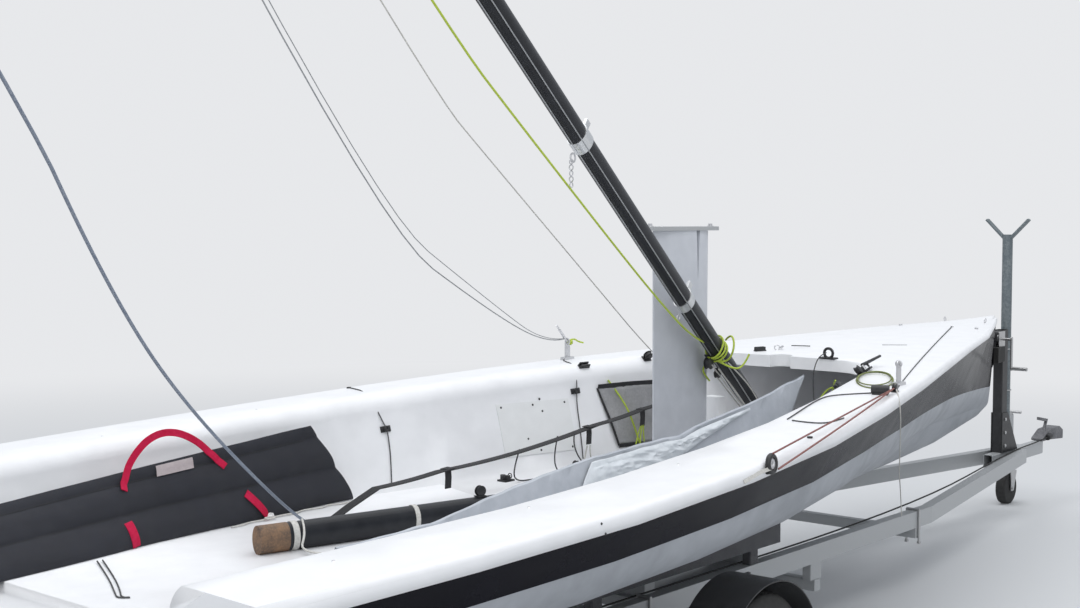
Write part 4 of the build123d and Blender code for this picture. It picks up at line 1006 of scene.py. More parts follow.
class KEELBOAT_OT_control_lines(bpy.types.Operator):
    """Lead the control lines, sheets and lashings over deck and cockpit"""

    bl_idname = "keelboat.control_lines"
    bl_label = "Control lines"

    def execute(self, context):
        sizes = context.scene.boat_sizes
        thin, thick = sizes.line_radius, sizes.sheet_radius
        self.port_leads(thin)
        self.starboard_sheets(thin, thick)
        down = path(
            (4.025, -0.247, 0.515), (3.985, -0.235, 0.505), (3.960, -0.225, 0.46), (3.965, -0.21, 0.40),
            (4.00, -0.20, 0.28),
        )
        lines("ring_line", [down], thin, "rope_dark")
        green = path(
            (3.62, -0.52, 0.44), (3.68, -0.47, 0.40), (3.74, -0.45, 0.34), (3.70, -0.42, 0.30),
            (3.80, -0.40, 0.24),
        )
        fork = [green[1]] + path((3.71, -0.43, 0.39), (3.69, -0.41, 0.35))
        lines("corner_tail", [green, fork], thin * 1.5, "rope_lime")
        lashing = path(
            (3.36, -0.93, 0.46), (3.29, -0.975, 0.452), (3.27, -0.995, 0.41), (3.30, -0.985, 0.33),
            (3.9, -0.68, 0.0), (4.38, -0.445, -0.10), (4.39, -0.45, -0.27),
        )
        lines("side_lashing", [lashing], thin, "rope_white")
        self.shock_cord(thin)
        slack = path(
            (3.955, -0.055, 0.245), (3.90, -0.20, 0.225), (3.82, -0.38, 0.250), (3.74, -0.53, 0.330),
            (3.70, -0.585, 0.440),
        )
        lines("mast_foot_slack", [slack], thin, "rope_white")
        self.cockpit_loops(thick * 0.8)
        return {"FINISHED"}

    def shock_cord(self, radius):
        """Doubled shock cord from the port tank to the middle of the floor."""
        low = radius + 0.001
        cords = []
        for shift in (0.0, 0.020):
            cords.append(path(
                (0.738 + shift, 0.575, 0.006), (0.64 + shift, 0.36, low), (0.55 + shift, 0.19, low),
                (0.512 + shift * 0.6, 0.118, low), (0.545, 0.108 - shift * 0.3, low),
            ))
        lines("shock_cord", cords, radius, "rope_dark")

    def port_leads(self, radius):
        """Two lines from the port side deck down the tank through their leads, and a tail."""
        leads = (
            (
                ((2.345, 1.135), (2.33, 1.08), (2.29, 0.98)),
                ((2.25, 0.33), (2.268, 0.28), (2.275, 0.251), (2.28, 0.20), (2.27, 0.12), (2.25, 0.03)),
            ),
            (
                ((3.47, 0.86), (3.41, 0.80), (3.36, 0.71)),
                ((3.315, 0.38), (3.298, 0.335), (3.29, 0.26), (3.286, 0.16), (3.27, 0.03)),
            ),
        )
        routes = []
        for over, down in leads:
            ring = 2 if len(down) == 6 else 1
            route = deck_route(over, radius)
            for i, (x, z) in enumerate(down):
                route.append(on_tank(x, z, 1, 0.012 if i == ring else 0.004)[0])
            routes.append(route)
        mast_tail = ((4.33, 0.118, 0.012), (4.36, 0.09, 0.010), (4.40, 0.055, 0.006))
        routes.append([on_deck(x, y, lift)[0] for x, y, lift in mast_tail])
        lines("port_leads", routes, radius, "rope_dark")

    def starboard_sheets(self, thin, thick):
        """Doubled sheet, its coil and the loose tails on the starboard side deck."""
        edge = (
            (3.26, -0.885), (3.17, -0.815), (3.08, -0.775), (2.92, -0.81), (2.78, -0.85), (2.585, -0.905),
        )
        tail = ((2.575, -0.93), (2.57, -0.98), (2.585, -1.045), (2.64, -1.06), (2.72, -1.055))
        bow = ((3.40, -0.915), (3.8, -0.765), (4.6, -0.475), (5.3, -0.225), (5.692, -0.087))
        routes = [deck_route(points, thin) for points in (edge, tail, bow)]
        lines("deck_lines", routes, thin, "rope_dark")
        ends = ((1.955, -1.232, 0.400), (1.975, -1.240, 0.350))
        block = Vector((3.318, -0.944, 0.462))
        sheets = []
        for i, end in enumerate(ends):
            route = []
            for k in range(9):
                t = k / 8
                sag = 0.035 * math.sin(math.pi * t) * i
                route.append(at(*Vector(end).lerp(block, t)) + Vector((0, -sag, 0.6 * sag)))
            sheets.append(route)
        lines("sheet_lines", sheets, thin * 1.25, "rope_red_brown")
        self.deck_coil(thin)
        strap = bmesh.new()
        route = [at(1.935, -1.236, 0.356)]
        for x, z in ((1.90, 0.349), (1.84, 0.341), (1.79, 0.333)):
            route.append(on_lip(x, z)[0] + Vector((0, -0.003, 0)))
        strap_between(strap, route, 0.012, 0.002, facing=(0, -1, 0.3))
        settle("sheet_block_strap", strap, BOAT, finish("rope_white"))

    def deck_coil(self, radius):
        """Uneven flat coil of line on the starboard side deck."""
        count, turns = 40, 2.6
        coil = [at(3.350, -0.925, 0.462)]
        for k in range(count):
            turn = k / (count - 1) * turns * 2 * math.pi
            wide = 0.92 + 0.13 * math.sin(turn * 0.37)
            middle = Vector((3.560 + 0.014 * math.sin(turn * 0.61), -0.735))
            across = Vector((0.0525, -0.0615)) * math.cos(turn) * wide
            along = Vector((0.190, 0.100)) * math.sin(turn) * wide
            place = middle + along + across
            coil.append(on_deck(place.x, place.y, radius + 0.0044 * (k // 15))[0])
        lines("deck_coil", [coil], radius * 1.1, "rope_olive")

    def cockpit_loops(self, radius):
        """Dark, pale and lime tails that hang from the port toe strap to the floor."""
        low = radius + 0.001
        tails = [
            path(
                (3.05, 0.448, 0.19), (3.04, 0.45, 0.14), (3.08, 0.44, 0.06), (3.18, 0.45, low),
                (3.30, 0.50, low), (3.42, 0.52, low),
            ),
            path(
                (2.96, 0.47, 0.18), (2.92, 0.46, 0.10), (2.93, 0.45, 0.03), (3.00, 0.44, low),
                (3.12, 0.42, low), (3.24, 0.45, low),
            ),
            path(
                (2.72, 0.48, 0.15), (2.70, 0.50, 0.06), (2.74, 0.52, low), (2.84, 0.50, low),
                (2.95, 0.46, low), (3.0, 0.40, low), (2.98, 0.33, low),
            ),
            path(
                (3.20, 0.53, 0.02), (3.30, 0.47, low), (3.45, 0.43, low), (3.60, 0.45, low),
                (3.70, 0.41, low),
            ),
        ]
        lines("cockpit_tails", tails, radius, "rope_dark")
        pale = [
            path((3.16, 0.448, 0.12), (3.17, 0.46, 0.06), (3.22, 0.45, 0.02), (3.26, 0.42, low)),
            path((3.14, 0.448, 0.12), (3.13, 0.46, 0.05), (3.10, 0.43, 0.015), (3.06, 0.40, low)),
        ]
        lines("riser_tails", pale, radius, "rope_white")
        lime = []
        for dx in (0.0, 0.03, -0.03):
            lime.append(path(
                (3.55 + dx * 0.3, 0.448, 0.17), (3.555 + dx, 0.47, 0.10), (3.57 + dx * 1.6, 0.47, 0.01),
            ))
        lines("riser_elastic", lime, radius, "rope_lime")


class KEELBOAT_OT_toe_straps(bpy.types.Operator):
    """Replace the toe straps with sewn webbing and its risers"""

    bl_idname = "keelboat.toe_straps"
    bl_label = "Toe straps"

    # Distance from the transom and height of the strap and of its risers
    LINE = (
        (1.60, 0.004), (1.72, 0.055), (1.86, 0.106), (2.20, 0.126), (2.67, 0.146), (3.20, 0.206),
        (3.55, 0.243), (3.84, 0.277),
    )
    RISERS = ((3.15, 0.200), (3.55, 0.240), (2.25, 0.126))
    STRAP_Y = 0.448

    def execute(self, context):
        width = context.scene.boat_sizes.webbing_width
        straps = bmesh.new()
        risers = bmesh.new()
        for side in (1, -1):
            y = side * self.STRAP_Y
            route = []
            for (x0, z0), (x1, z1) in zip(self.LINE, self.LINE[1:]):
                for step in range(6):
                    t = step / 6
                    sag = -0.004 * math.sin(math.pi * t) if x0 > 1.8 else 0
                    route.append(at(x0 + (x1 - x0) * t, y, z0 + (z1 - z0) * t + sag))
            route.append(at(self.LINE[-1][0], y, self.LINE[-1][1]))
            strap_between(straps, route, width, 0.004, (0, 1, 0))
            for x, z in self.RISERS:
                drop = path((x, y, z + 0.004), (x + 0.003, y, z - 0.03), (x, y, z - 0.075))
                strap_between(risers, drop, 0.034, 0.003, (1, 0, 0))
                over = path((x - 0.02, y, z + 0.0035), (x + 0.02, y, z + 0.0065))
                strap_between(risers, over, width + 0.002, 0.003, (0, 1, 0))
        black = finish("webbing_black")
        settle("toe_strap_webbing", straps, BOAT, black, replaces=("toe_straps",))
        settle("toe_strap_risers", risers, BOAT, black)
        return {"FINISHED"}


class KEELBOAT_OT_mesh_pockets(bpy.types.Operator):
    """Replace the pockets with bordered mesh and elastic"""

    bl_idname = "keelboat.mesh_pockets"
    bl_label = "Mesh pockets"

    X_RANGE = (3.425, 3.835)
    Z_RANGE = (0.070, 0.340)
    SLANT = 0.060
    # Elastic over the pocket: distance from the transom, height and lift off the tank
    ELASTIC = ((3.49, 0.372, 0.005), (3.52, 0.29, 0.038), (3.56, 0.19, 0.040), (3.60, 0.06, 0.012))

    def execute(self, context):
        borders = bmesh.new()
        for side, end in ((1, "port"), (-1, "starboard")):
            panel = bmesh.new()
            tank_patch(panel, side, self.X_RANGE, self.Z_RANGE, 18, 14, self.bulge, self.SLANT)
            bmesh.ops.recalc_face_normals(panel, faces=panel.faces)
            piece = settle(
                f"pocket_mesh_{end}", panel, BOAT, finish("mesh_grey"),
                replaces=("mesh_pockets",) if side == 1 else (),
            )
            wall = piece.modifiers.new("wall", "SOLIDIFY")
            wall.thickness = 0.0012
            self.border(borders, side)
        settle("pocket_borders", borders, BOAT, finish("webbing_black"))
        elastic = []
        for side in (1, -1):
            elastic.append([on_tank(x, z, side, lift)[0] for x, z, lift in self.ELASTIC])
        lines("pocket_elastic", elastic, 0.0045, "rope_lime")
        return {"FINISHED"}

    def bulge(self, u, v):
        """How far the mesh stands off the tank, at shares of its length and height."""
        return 0.006 + 0.030 * v ** 1.5 * math.sin(math.pi * u) + 0.004 * math.sin(9 * u + 5 * v)

    def border(self, shape, side):
        """Webbing round the pocket: both ends, foot and the open top."""
        (x0, x1), (z0, z1) = self.X_RANGE, self.Z_RANGE
        spans = [
            [(0, v / 8) for v in range(9)],
            [(1, v / 8) for v in range(9)],
            [(u / 10, 0) for u in range(11)],
            [(u / 10, 1) for u in range(11)],
        ]
        for span in spans:
            route = []
            for u, v in span:
                x = x0 + (x1 - x0) * u + self.SLANT * (1 - u) * (1 - v)
                z = z0 + (z1 - z0) * v
                route.append(on_tank(x, z, side, self.bulge(u, v) + 0.001)[0])
            upright = span[0][0] == span[-1][0]
            wide = 0.034 if span[0][1] == 1 and not upright else 0.018
            strap_between(shape, route, wide, 0.003, (1, 0, 0) if upright else (0, -0.2 * side, 1))


class KEELBOAT_OT_sail_bag(bpy.types.Operator):
    """Replace the sail bag with padded cloth, its seams, handles and straps"""

    bl_idname = "keelboat.sail_bag"
    bl_label = "Sail bag"

    # Distance from the transom, y of the foot, y and z of the top edge
    ROWS = (
        (0.06, 0.530, 0.770, 0.160), (0.515, 0.590, 0.780, 0.202), (1.085, 0.690, 0.780, 0.257),
        (1.82, 0.757, 0.782, 0.319), (2.03, 0.765, 0.780, 0.030),
    )
    # Quilted channels up the front: low and high share, and depth of the padding
    CHANNELS = ((0.0, 0.44, 0.020), (0.44, 0.84, 0.017), (0.84, 1.0, 0.005))
    # Low straps: distance from the transom and share up the front, top end first
    LOW_STRAPS = (((0.925, 0.345), (0.945, 0.015)), ((1.464, 0.37), (1.560, 0.03)))
    # Ends of the handle's loop over the top edge
    HANDLE = (0.950, 1.385)

    def row(self, x):
        """Front foot, top y and top z of the bag at a distance from the transom."""
        rows = self.ROWS
        for a, b in zip(rows, rows[1:]):
            if x <= b[0]:
                t = (x - a[0]) / (b[0] - a[0])
                return [a[k] + (b[k] - a[k]) * t for k in (1, 2, 3)]
        return list(rows[-1][1:])

    def front(self, x, s, lift=0.0):
        """Point on the bag's front, s from foot to top edge."""
        foot_y, top_y, top_z = self.row(x)
        pad = 0.0
        for low, high, deep in self.CHANNELS:
            if low <= s <= high:
                pad = deep * math.sin(math.pi * (s - low) / (high - low)) ** 0.7
        pad *= min(1.0, top_z / 0.2)
        wrinkle = 0.006 * noise.noise(Vector((x * 5.0, s * 3.0, 1.7)))
        wrinkle += 0.003 * noise.noise(Vector((x * 17.0, s * 6.0, 4.1)))
        out = pad + wrinkle + lift + 0.004
        lean = math.atan2(top_z, top_y - foot_y)
        y = foot_y + (top_y - foot_y) * s - math.sin(lean) * out
        z = top_z * s + math.cos(lean) * out * 0.6
        return at(x, y, max(z, 0.002))

    def execute(self, context):
        self.cloth()
        seams = []
        for s in (0.44, 0.84):
            seams.append([self.front(0.08 + 1.70 * k / 40, s, 0.002) for k in range(41)])
        lines("sail_bag_seams", seams, 0.0022, "webbing_black", steps=3)
        red = bmesh.new()
        self.handle(red)
        self.low_straps(red)
        settle("sail_bag_handles", red, BOAT, finish("webbing_red"), crease=70)
        self.patch()
        clip = bmesh.new()
        where = seat(self.front(1.572, 0.015, 0.008), (0, -1, 0.6))
        add_block(clip, where, (0.034, 0.026, 0.008), bevel=0.003)
        add_ring(clip, where, 0.012, 0.003, (0, 0, 0.004), steps=16, sides=6)
        settle("sail_bag_clip", clip, BOAT, finish("board_white"))
        self.cord()
        return {"FINISHED"}

    def cloth(self):
        """Padded cloth of the bag, with its fore end cut back at a slant."""
        shape = bmesh.new()
        made = bmesh.ops.create_grid(shape, x_segments=120, y_segments=40, size=0.5)
        x0, x1, x2 = self.ROWS[0][0], self.ROWS[-2][0], self.ROWS[-1][0]
        for vert in made["verts"]:
            u, s = vert.co.x + 0.5, vert.co.y + 0.5
            span = x1 + (x2 - x1) * (1 - s)
            x = x0 + (span - x0) * u
            vert.co = self.front(min(x, x1), s)
            if x > x1:
                vert.co.x = at(x, 0).x
                vert.co.y += 0.008 * (x - x1) / (x2 - x1)
        thicken(shape, 0.045)
        piece = settle(
            "sail_bag_cloth", shape, BOAT, finish("bag_charcoal"),
            replaces=("sail_bag",), crease=50,
        )
        soft_edge = piece.modifiers.new("soft edge", "BEVEL")
        soft_edge.width = 0.010
        soft_edge.segments = 3
        soft_edge.limit_method = "ANGLE"

    def low_straps(self, shape):
        """Two webbing tabs on the lower channel."""
        for (x0, s0), (x1, s1) in self.LOW_STRAPS:
            route = []
            for k in range(9):
                t = k / 8
                route.append(self.front(x0 + (x1 - x0) * t, s0 + (s1 - s0) * t, 0.004))
            strap_between(shape, route, 0.032, 0.003, facing=(0, -0.9, 0.45))

    def patch(self):
        """Bare patch sewn under the top edge."""
        shape = bmesh.new()
        bmesh.ops.create_grid(shape, x_segments=8, y_segments=4, size=0.5)
        for vert in shape.verts:
            u, v = vert.co.x + 0.5, vert.co.y + 0.5
            vert.co = self.front(1.098 + 0.157 * u, 0.83 + 0.14 * v, 0.005)
        thicken(shape, 0.0015)
        settle("sail_bag_patch", shape, BOAT, finish("patch_pale"))

    def cord(self):
        """Tying cord that lies on the floor along the bag's foot."""
        foot = []
        for k in range(15):
            x = 1.36 + 0.046 * k
            y = self.row(min(x, 1.79))[0] - 0.035 - 0.012 * math.sin(2.1 * k) - 0.05 * max(0, x - 1.85)
            foot.append(at(x, y, 0.004 + 0.003 * math.sin(1.3 * k) ** 2))
        tie = []
        for a in (0, 1.5, 3, 4.5, 6, 7):
            tie.append(foot[4] + Vector((0.03 * math.cos(a), 0.018 * math.sin(a), 0.004)))
        lines("sail_bag_cord", [foot, tie], 0.003, "rope_white")

    def handle(self, shape):
        """Webbing loop over the bag's top edge, sewn down at both ends."""
        start, end = self.HANDLE
        arc = []
        for k in range(41):
            t = k / 40
            x = start + (end - start) * t
            rise = math.sin(math.pi * t ** 0.86)
            clear = max(rise - 0.36, 0) / 0.64
            base = self.front(x, 0.76 + 0.24 * min(1, rise / 0.36), 0.007)
            arc.append(base + Vector((0, 0.018 * clear, 0.098 * clear ** 0.85)))
        strap_between(shape, arc, 0.026, 0.0035, facing=(0, -1, 0.15))


class KEELBOAT_OT_folded_sail(bpy.types.Operator):
    """Replace the laminate sail with folded, creased film"""

    bl_idname = "keelboat.folded_sail"
    bl_label = "Folded sail"

    # Height of the top fold at distances from the transom
    RIDGE = (
        (0.65, 0.254), (1.03, 0.256), (1.27, 0.288), (1.55, 0.320), (1.86, 0.345), (2.10, 0.350),
        (2.25, 0.350), (2.40, 0.353), (2.52, 0.368), (2.63, 0.378), (2.95, 0.406), (3.22, 0.448),
        (3.41, 0.473), (3.46, 0.477),
    )
    # Fold profile: share of the spread to port, share of the height
    FOLDS = (
        (-0.50, 0.004), (-0.03, 0.985), (0.01, 1.0), (0.60, 0.004), (0.44, 0.030),
        (0.04, 0.90), (-0.36, 0.030), (0.30, 0.06),
    )
    # How far the fore end leans back from the top fold to the foot
    SLANT = 0.52
    # Lower edge of the crumpled layer: distance from the transom, share up the front
    BAND = (
        (1.58, 0.30), (1.92, 0.66), (2.11, 0.73), (2.30, 0.79), (2.55, 0.86), (2.80, 0.93), (2.95, 0.96),
    )
    FILM = 0.0006

    def ramp(self, table, x):
        """Value between the places of a table."""
        if x <= table[0][0]:
            return table[0][1]
        for (x0, v0), (x1, v1) in zip(table, table[1:]):
            if x <= x1:
                return v0 + (v1 - v0) * (x - x0) / (x1 - x0)
        return table[-1][1]

    def row(self, x):
        """Ridge y and spread at a distance from the transom."""
        ridge_y = -0.690 + 0.062 * (x - 0.65) if x < 2.1 else -0.600 + 0.1 * (x - 2.1)
        spread = 0.165 if x < 2.2 else 0.165 - 0.043 * (x - 2.2)
        return ridge_y, spread

    def fold_place(self, u, fold, lift=0.0):
        """Point on the film at a share of its length and a place across the folds."""
        last = len(self.FOLDS) - 1
        fold = min(fold, last - 1e-6)
        k = int(fold)
        t = fold - k
        (p0, h0), (p1, h1) = self.FOLDS[k], self.FOLDS[k + 1]
        share, height = p0 + (p1 - p0) * t, h0 + (h1 - h0) * t
        first, end = self.RIDGE[0][0], self.RIDGE[-1][0]
        x = first + (end - self.SLANT * (1 - height) - first) * u
        ridge_y, spread = self.row(x)
        ridge_z = self.ramp(self.RIDGE, x)
        middle = math.sin(math.pi * t) if k in (0, 2, 4, 5) else 0.3
        slow = noise.noise(Vector((x * 1.6, k * 3.1, height * 1.5)))
        where = Vector((x * 7.0, k * 3.1, height * 6.0))
        crease = noise.noise(where) + 0.5 * noise.noise(where * 2.3)
        where = Vector((x * 3.2 - height * 2.2, k * 2.0, height * 3.4))
        ridged = 1 - 2 * abs(noise.noise(where))
        calm = 0.22 if x > 1.6 else 0.55
        push = self.deep * (middle * (1.1 * slow + calm * crease) + 0.35 * calm * ridged)
        y = ridge_y + spread * share + push - lift
        z = ridge_z * height + 0.4 * push * (1 - abs(2 * height - 1)) + lift * 0.3
        if height > 0.9:
            z += 0.006 * noise.noise(Vector((x * 9.0, 0.3, 0.7))) - 0.004
        return at(x, y, max(z, 0.003))

    def execute(self, context):
        self.deep = context.scene.boat_sizes.crumple
        shape = bmesh.new()
        folds = len(self.FOLDS) - 1
        made = bmesh.ops.create_grid(shape, x_segments=170, y_segments=10 * folds, size=0.5)
        for vert in made["verts"]:
            vert.co = self.fold_place(vert.co.x + 0.5, (vert.co.y + 0.5) * folds)
        piece = settle(
            "folded_sail_film", shape, BOAT, finish("film_grey"),
            replaces=("laminate_sail",), crease=40,
        )
        wall = piece.modifiers.new("film", "SOLIDIFY")
        wall.thickness = self.FILM
        self.crumpled_layer()
        return {"FINISHED"}

    def crumpled_layer(self):
        """Crumpled layer of the film over the smooth one up to the top fold, drawn lighter than the smooth
        layer: painted highlight of the light that its creases catch.
        """
        shape = bmesh.new()
        made = bmesh.ops.create_grid(shape, x_segments=150, y_segments=34, size=0.5)
        first, end = self.RIDGE[0][0], self.RIDGE[-1][0]
        x0, x1 = self.BAND[0][0], self.BAND[-1][0]
        for vert in made["verts"]:
            u, v = vert.co.x + 0.5, vert.co.y + 0.5
            x = x0 + (x1 - x0) * u
            low = self.ramp(self.BAND, x)
            top = min(0.985, low + 0.04 + 1.7 * (x - x0))
            height = low + (top - low) * v
            along = (x - first) / (end - self.SLANT * (1 - height) - first)
            edge = min(1.0, 4 * u + 0.15, 5 * (1 - u) + 0.1) * math.sin(math.pi * (0.12 + 0.80 * v))
            where = Vector((x * 5.2 + height * 2.4, height * 5.5, 3.3))
            folds = 0
            for scale, share in ((1.0, 1.0), (2.1, 0.55), (4.3, 0.28)):
                folds += share * (1 - 2.4 * abs(noise.noise(where * scale)))
            place = self.fold_place(along, height * 0.99, lift=0.004)
            out = edge * self.deep * (0.55 + 0.95 * folds)
            vert.co = place + Vector((0, -max(out, 0.0), 0.25 * max(out, 0.0)))
        # Lighter copy of the film on the crumpled layer: painted highlight
        piece = settle(
            "folded_sail_crumple", shape, BOAT, finish("film_painted_highlight"), crease=32,
        )
        wall = piece.modifiers.new("film", "SOLIDIFY")
        wall.thickness = self.FILM

    def flat_size(self, piece):
        """Width across the folds and length of the film before it was folded."""
        length = self.RIDGE[-1][0] - self.RIDGE[0][0]
        area = sum(p.area for p in piece.data.polygons)
        return area / length, length


class KEELBOAT_OT_mast_fittings(bpy.types.Operator):
    """Add shackle, chain, blocks, bands, exit plates and lines on the mast"""

    bl_idname = "keelboat.mast_fittings"
    bl_label = "Mast fittings"

    # Distances up the mast, and the sizes of the blocks beside their distances
    CHAIN = 2.245
    LOW_RING = 1.212
    PLATES = (0.95, 1.9, HOUNDS - 0.15, HOUNDS + 0.2, 8.3)
    BLOCKS = ((0.74, 0.9), (0.84, 1.3))
    BANDS = (3.5, 5.1, HOUNDS - 0.05)
    # Spreader tip: distance up the mast, half span and sweep aft
    SPREADER_TIP = (3.94, 0.62, 0.150)

    def execute(self, context):
        steel = bmesh.new()
        black = bmesh.new()
        self.rings(steel)
        self.plates(steel)
        for along, size in self.BLOCKS:
            block = seat(up_mast(along, 0.012, MAST_HALF[1]), MAST_AFT, MAST_UP)
            add_cheek_block(black, block, size)
        for along in self.BANDS:
            self.band(black, along)
        settle("mast_fittings_steel", steel, "mast", finish("stainless"))
        settle("mast_fittings_black", black, "mast", finish("fitting_black"))
        boots = bmesh.new()
        along, half_span, sweep = self.SPREADER_TIP
        for side in (1, -1):
            tip = seat(up_mast(along, side * half_span, sweep), MAST_UP, MAST_PORT)
            add_round(boots, tip, 0.013, 0.040, segments=16, bevel=0.005)
        settle("spreader_boots", boots, "mast", finish("board_white"))
        self.knot()
        foot = [
            mast_path((0.83, 0.0, 0.075), (0.62, 0.012, 0.056), (0.40, 0.0, 0.050), (0.20, -0.01, 0.049)),
            mast_path((0.74, 0.03, 0.060), (0.52, 0.050, 0.030), (0.30, 0.042, 0.020), (0.16, 0.036, 0.020)),
            mast_path((0.80, -0.02, 0.075), (0.55, -0.02, 0.055), (0.30, -0.01, 0.050)),
            mast_path((0.78, -0.045, 0.03), (0.60, -0.060, 0.01), (0.40, -0.046, 0.0), (0.18, -0.038, 0.01)),
        ]
        lines("mast_foot_lines", foot, 0.003, "rope_white", body="mast")
        return {"FINISHED"}

    def rings(self, steel):
        """Shackle with five links of chain, and the ring below it."""
        below = MAST_HALF[1]
        shackle = seat(up_mast(self.CHAIN, 0, below + 0.040), MAST_PORT, MAST_UP)
        add_ring(steel, shackle, 0.016, 0.0035, steps=20, sides=8)
        for link in range(5):
            hang = up_mast(self.CHAIN, 0, below + 0.058) + Vector((0, 0, -0.021 * link))
            face = (1, 0, 0) if link % 2 else (0, 1, 0)
            add_ring(steel, seat(hang, face, (0, 0, 1)), 0.009, 0.0024, steps=14, sides=6)
        low_ring = seat(up_mast(self.LOW_RING, 0, below + 0.040), MAST_PORT, MAST_UP)
        add_ring(steel, low_ring, 0.012, 0.003, steps=18, sides=8)

    def plates(self, steel):
        """Exit plates on the mast's port side, each with two screws."""
        for along in self.PLATES:
            plate = seat(up_mast(along, MAST_HALF[0] * 0.97, 0), MAST_PORT, MAST_UP)
            add_block(steel, plate, (0.120, 0.026, 0.003), (0, 0, 0.001), bevel=0.001)
            for end in (-0.05, 0.05):
                add_screw(steel, plate @ Matrix.Translation((end, 0, 0.002)), 0.003)

    def band(self, shape, along):
        """Open band round the mast's oval section."""
        where = seat(up_mast(along), MAST_UP, MAST_PORT)
        oval = where @ Matrix.Diagonal((MAST_HALF[0] + 0.006, MAST_HALF[1] + 0.006, 1, 1))
        loop = bmesh.ops.create_cone(
            shape, cap_ends=False, segments=40, radius1=1.0, radius2=1.0, depth=0.045, matrix=oval,
        )
        faces = {f for v in loop["verts"] for f in v.link_faces}
        bmesh.ops.solidify(shape, geom=list(faces), thickness=0.004)

    def knot(self):
        """Lime line wound three times round the mast, with its loose ends."""
        count, turns = 34, 3.0
        wound = []
        for k in range(count):
            share = k / (count - 1)
            turn = share * turns * 2 * math.pi
            reach = 0.010 + 0.003 * math.sin(turn * 2.3)
            port = (MAST_HALF[0] + reach) * math.cos(turn)
            aft = (MAST_HALF[1] + reach) * math.sin(turn)
            wound.append(up_mast(0.815 + 0.018 * turns * share + 0.004 * math.sin(turn * 1.7), port, aft))
        ends = [
            mast_path(
                (0.84, -0.03, 0.06), (0.86, -0.09, 0.08), (0.92, -0.13, 0.03), (0.93, -0.10, -0.03),
                (0.87, -0.05, -0.03),
            ),
            mast_path((0.84, -0.03, 0.06), (0.80, -0.08, 0.07), (0.76, -0.11, 0.04), (0.78, -0.13, -0.02)),
            mast_path((0.84, 0.02, 0.058), (0.81, 0.05, 0.08), (0.77, 0.06, 0.085), (0.72, 0.05, 0.09)),
        ]
        lines("mast_knot", [wound] + ends, 0.0042, "rope_lime", body="mast")


# Rigging lines between the mast and the boat: name, finish and radius, places from
# the transom, mast end as distance and offsets, and the CAD node that it replaces
RIGGING = (
    (
        "shroud_wire_port", "wire", 0.0025,
        ((3.506, 0.867, 0.556), (3.30, 0.80, 0.545), (2.741, 0.612, 0.698), (1.508, 0.200, 1.168)),
        (HOUNDS, 0.03, 0.0), ("shroud_port",),
    ),
    (
        "trapeze_wire_port", "wire", 0.0018,
        ((3.506, 0.867, 0.556), (3.22, 0.77, 0.560), (2.70, 0.60, 0.755), (1.50, 0.21, 1.245)),
        (HOUNDS - 0.1, 0.03, 0.02), (),
    ),
    (
        "backstay_rope", "rope_blue_grey", 0.0055,
        (
            (1.560, 0.470, 0.010), (1.45, 0.43, 0.055), (0.825, 0.231, 0.548), (0.487, 0.127, 0.944),
            (0.115, 0.014, 1.551),
        ),
        (8.78, 0.0, 0.05), (),
    ),
    (
        "halyard_lime", "rope_lime", 0.0040,
        (
            (3.372, -0.090, 0.575), (3.203, -0.108, 0.596), (2.825, -0.158, 0.803),
            (1.974, -0.270, 1.363), (1.327, -0.355, 1.798),
        ),
        (HOUNDS, 0.0, 0.05), (),
    ),
    (
        "halyard_white", "rope_white", 0.0025,
        (
            (3.90, 0.30, 0.21), (3.371, 0.270, 0.533), (2.865, 0.163, 0.827), (2.057, -0.007, 1.295),
            (1.518, -0.121, 1.611),
        ),
        (HOUNDS - 0.1, 0.0, 0.05), (),
    ),
)


class KEELBOAT_OT_rigging(bpy.types.Operator):
    """String the slack shrouds, halyards and backstay between mast and boat"""

    bl_idname = "keelboat.rigging"
    bl_label = "Rigging lines"

    def execute(self, context):
        for name, finish_name, radius, places, mast_end, replaced in RIGGING:
            route = path(*places) + [up_mast(*mast_end)]
            mesh = line_mesh(name, [route], radius, steps=10)
            piece = enter(name, mesh, None, finish(finish_name), replaced, crease=60)
            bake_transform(piece)
        self.turnbuckles()
        self.lashing()
        return {"FINISHED"}

    def turnbuckles(self):
        """Eyes on both chainplates and the port shroud's turnbuckle."""
        steel = bmesh.new()
        for name in ("chainplate_port", "chainplate_starboard"):
            low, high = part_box(name)
            eye = Vector(((low.x + high.x) / 2, (low.y + high.y) / 2, high.z - 0.018))
            ring = seat(eye + Vector((0, 0, 0.004)), (1, 0, 0), (0, 0, 1))
            add_ring(steel, ring, 0.013, 0.003, steps=18, sides=6)
            if name == "chainplate_port":
                run = Vector((-0.55, -0.2, 0.35)).normalized()
                add_bar(steel, eye + run * 0.012, eye + run * 0.05, 0.0045)
                add_bar(steel, eye + run * 0.05, eye + run * 0.14, 0.007, segments=6)
                add_bar(steel, eye + run * 0.14, eye + run * 0.18, 0.0045)
        settle_steel("turnbuckles", steel)

    def lashing(self):
        """Lime line wound at the port chainplate, and its tail."""
        low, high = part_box("chainplate_port")
        base = Vector(((low.x + high.x) / 2, low.y + 0.017, high.z - 0.03))
        wound = []
        for k in range(24):
            a = k * 0.6
            wound.append(base + Vector((0.02 + 0.010 * math.cos(a), 0.012 * math.sin(a), 0.004 * a / 3)))
        tail = [wound[-1]]
        for step in ((0.03, -0.01, 0.01), (0.07, 0.0, -0.01), (0.09, -0.02, -0.015)):
            tail.append(wound[-1] + Vector(step))
        lines("chainplate_lashing", [wound, tail], 0.004, "rope_lime")


